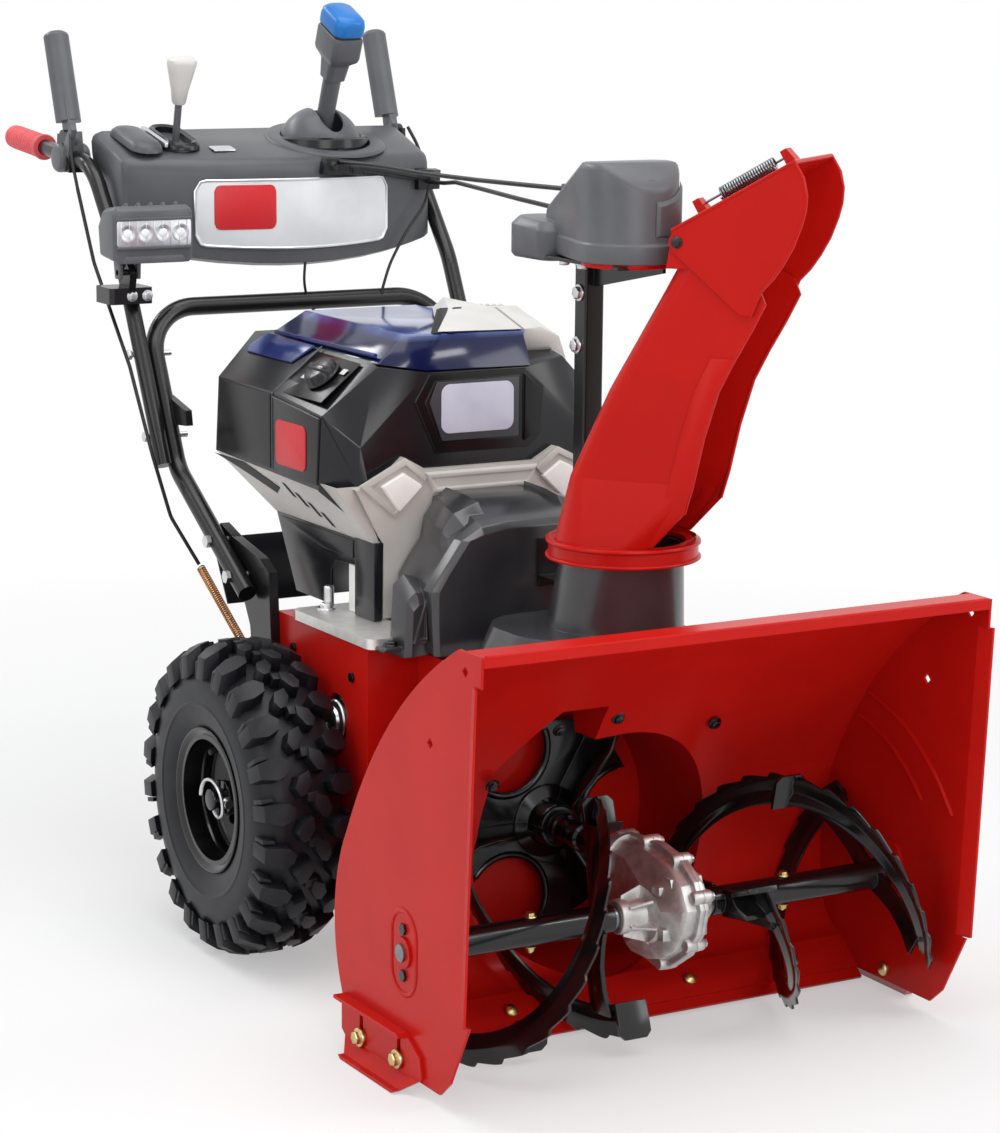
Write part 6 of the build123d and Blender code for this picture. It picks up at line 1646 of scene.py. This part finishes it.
def make_lamp():
    """Work light: faceted housing, ribbed bright reflector, four diodes in cups and its screws."""
    side = [(300, 842), (300, 912), (308, 918), (340, 914), (358, 890), (352, 848)]
    rings = []
    for x, share in ((-295, 0.86), (-288, 1.0), (-187, 1.0), (-180, 0.86)):
        rings.append([(x, 326 + (y - 326) * share, 880 + (z - 880) * share) for y, z in side])
    forms = [loft(rings)]
    forms.append(front_slab([(-284, 842), (-191, 842), (-196, 852), (-280, 852)], 301, 3, 1.0))
    fin = [(316, 916), (350, 898), (352, 904), (318, 922)]
    for x in (-272, -254, -236, -218, -200):
        forms.append(side_slab(fin, x, 5))
    for x in (-282, -256):
        forms.append(side_slab([(312, 850), (314, 820), (330, 820), (336, 850)], x, 5))
    settle("lamp_housing", forms, GREY_ABS, "lamp", "grey_plastic", "lamp_body", edge=1.5)
    face = [front_slab(round_outline(107, 39, 7, 5, (-237.5, 882)), 300.4, 1.6)]
    for i in range(9):
        x = -286 + 12 * i
        face.append(front_slab([(x, 865), (x + 1, 865), (x + 1, 899), (x, 899)], 298.8, 1.4))
    settle("lamp_reflector", face, BRIGHT_ZINC, "lamp", "grey_plastic", edge=0.3)
    bars = [
        front_slab([(-292, low), (-183, low), (-183, low + 4), (-292, low + 4)], 300, 4, 0.5)
        for low in (861, 899)
    ]
    settle("lamp_lens_frame", bars, GREY_ABS, "lamp", "grey_plastic", edge=0.6)
    cups, diodes = [], []
    for i in range(4):
        place = (-276 + 25.6 * i, 298.9, 882)
        cups.append(lathe([(0, 6), (0, 11.6), (1.4, 11.8), (1.4, 10.4), (0.4, 6)], place, (0, -1, 0), 24))
        diodes.append(dome_head(place, (0, -1, 0), 6.4, 2.2))
    settle("lamp_cups", cups, BRIGHT_ZINC, "lamp", "grey_plastic")
    settle("lamp_diodes", diodes, DIODE_WHITE, "lamp", "light_grey_plastic")
    screws = hex_head((-277, 322, 829), (-1, 0, 0), 6, 5)
    screws += hex_heads(((-262, 318.8, 797), (-240, 318.8, 797)), (0, -1, 0), 6, 5)
    settle("lamp_bracket_screws", screws, BRIGHT_ZINC, "machine", "zinc_steel", edge=0.4)


# ---- Building ----------------------------------------------------------------------------

make_wheel(-1, "left")
make_wheel(1, "right")
make_augers()
make_gear_case()
make_impeller()
make_housing_fittings()
make_power_housing()
make_silver_parts()
make_motor_shroud()
make_belt_cover()
make_lid()
make_vent_cover()
make_dial()
make_chute_details()
make_head_cover()
make_console_shell()
make_console_details()
make_controls()
make_handle_details()
make_lamp()


# ---- Materials of the CAD pieces that stay -----------------------------------------------

NODE_FINISHES = (
    (RED, ("housing_wrapper", "side_plate_left", "side_plate_right", "impeller_drum", "skid_shoe_left",
           "skid_shoe_right", "tractor_frame", "chute", "deflector", "scraper_blade", "auger_bearings")),
    # Painted sheen: the neck's glare is given by the covers' lifted charcoal.
    (CHARCOAL_PAINTED_SHEEN, ("discharge_neck",)),
    (BLACK_ABS, ("belt_cover", "motor_shroud", "power_housing", "battery_packs", "dial")),
    (CABLE_SHEATH, ("chute_cables", "clutch_cables")),
    (BLACK_GLOSS, ("auger_left", "auger_right", "impeller", "rim_left", "rim_right", "black_bolts")),
    (BLACK_SATIN, ("lower_handle", "handle_brackets", "upper_handles", "chute_post", "lamp_bracket")),
    (YELLOW_ZINC, ("housing_bolts", "shear_bolts")),
    (BRIGHT_ZINC, ("handle_bolts",)),
    (CAST_ALUMINIUM, ("gear_case", "gear_case_cover", "motor")),
    (PLATE_ALUMINIUM, ("base_plate",)),
    (STEEL, ("auger_shaft", "impeller_shaft", "axle_bearings", "deflector_spring", "motor_pulley")),
    (IRON, ("impeller_pulley",)),
    (BELT_RUBBER, ("drive_belt",)),
    (TYRE_RUBBER, ("tyre_left", "tyre_right")),
    (SILVER_ABS, ("silver_trim",)),
    (BLUE_CLEAR, ("battery_lid",)),
    (LIGHT_ABS, ("vent_cover", "speed_lever")),
    (GREY_ABS, ("chute_head_cover", "console", "joystick_dome", "joystick", "lever_left", "lever_right",
                "lamp_body")),
    (BLUE_ABS, ("trigger",)),
    (CORAL_RUBBER, ("grips",)),
    (COPPER, ("cable_springs",)),
)
for finish, node_names in NODE_FINISHES:
    for node_name in node_names:
        cad_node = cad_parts[node_name]
        cad_node.data.materials.clear()
        cad_node.data.materials.append(finish)
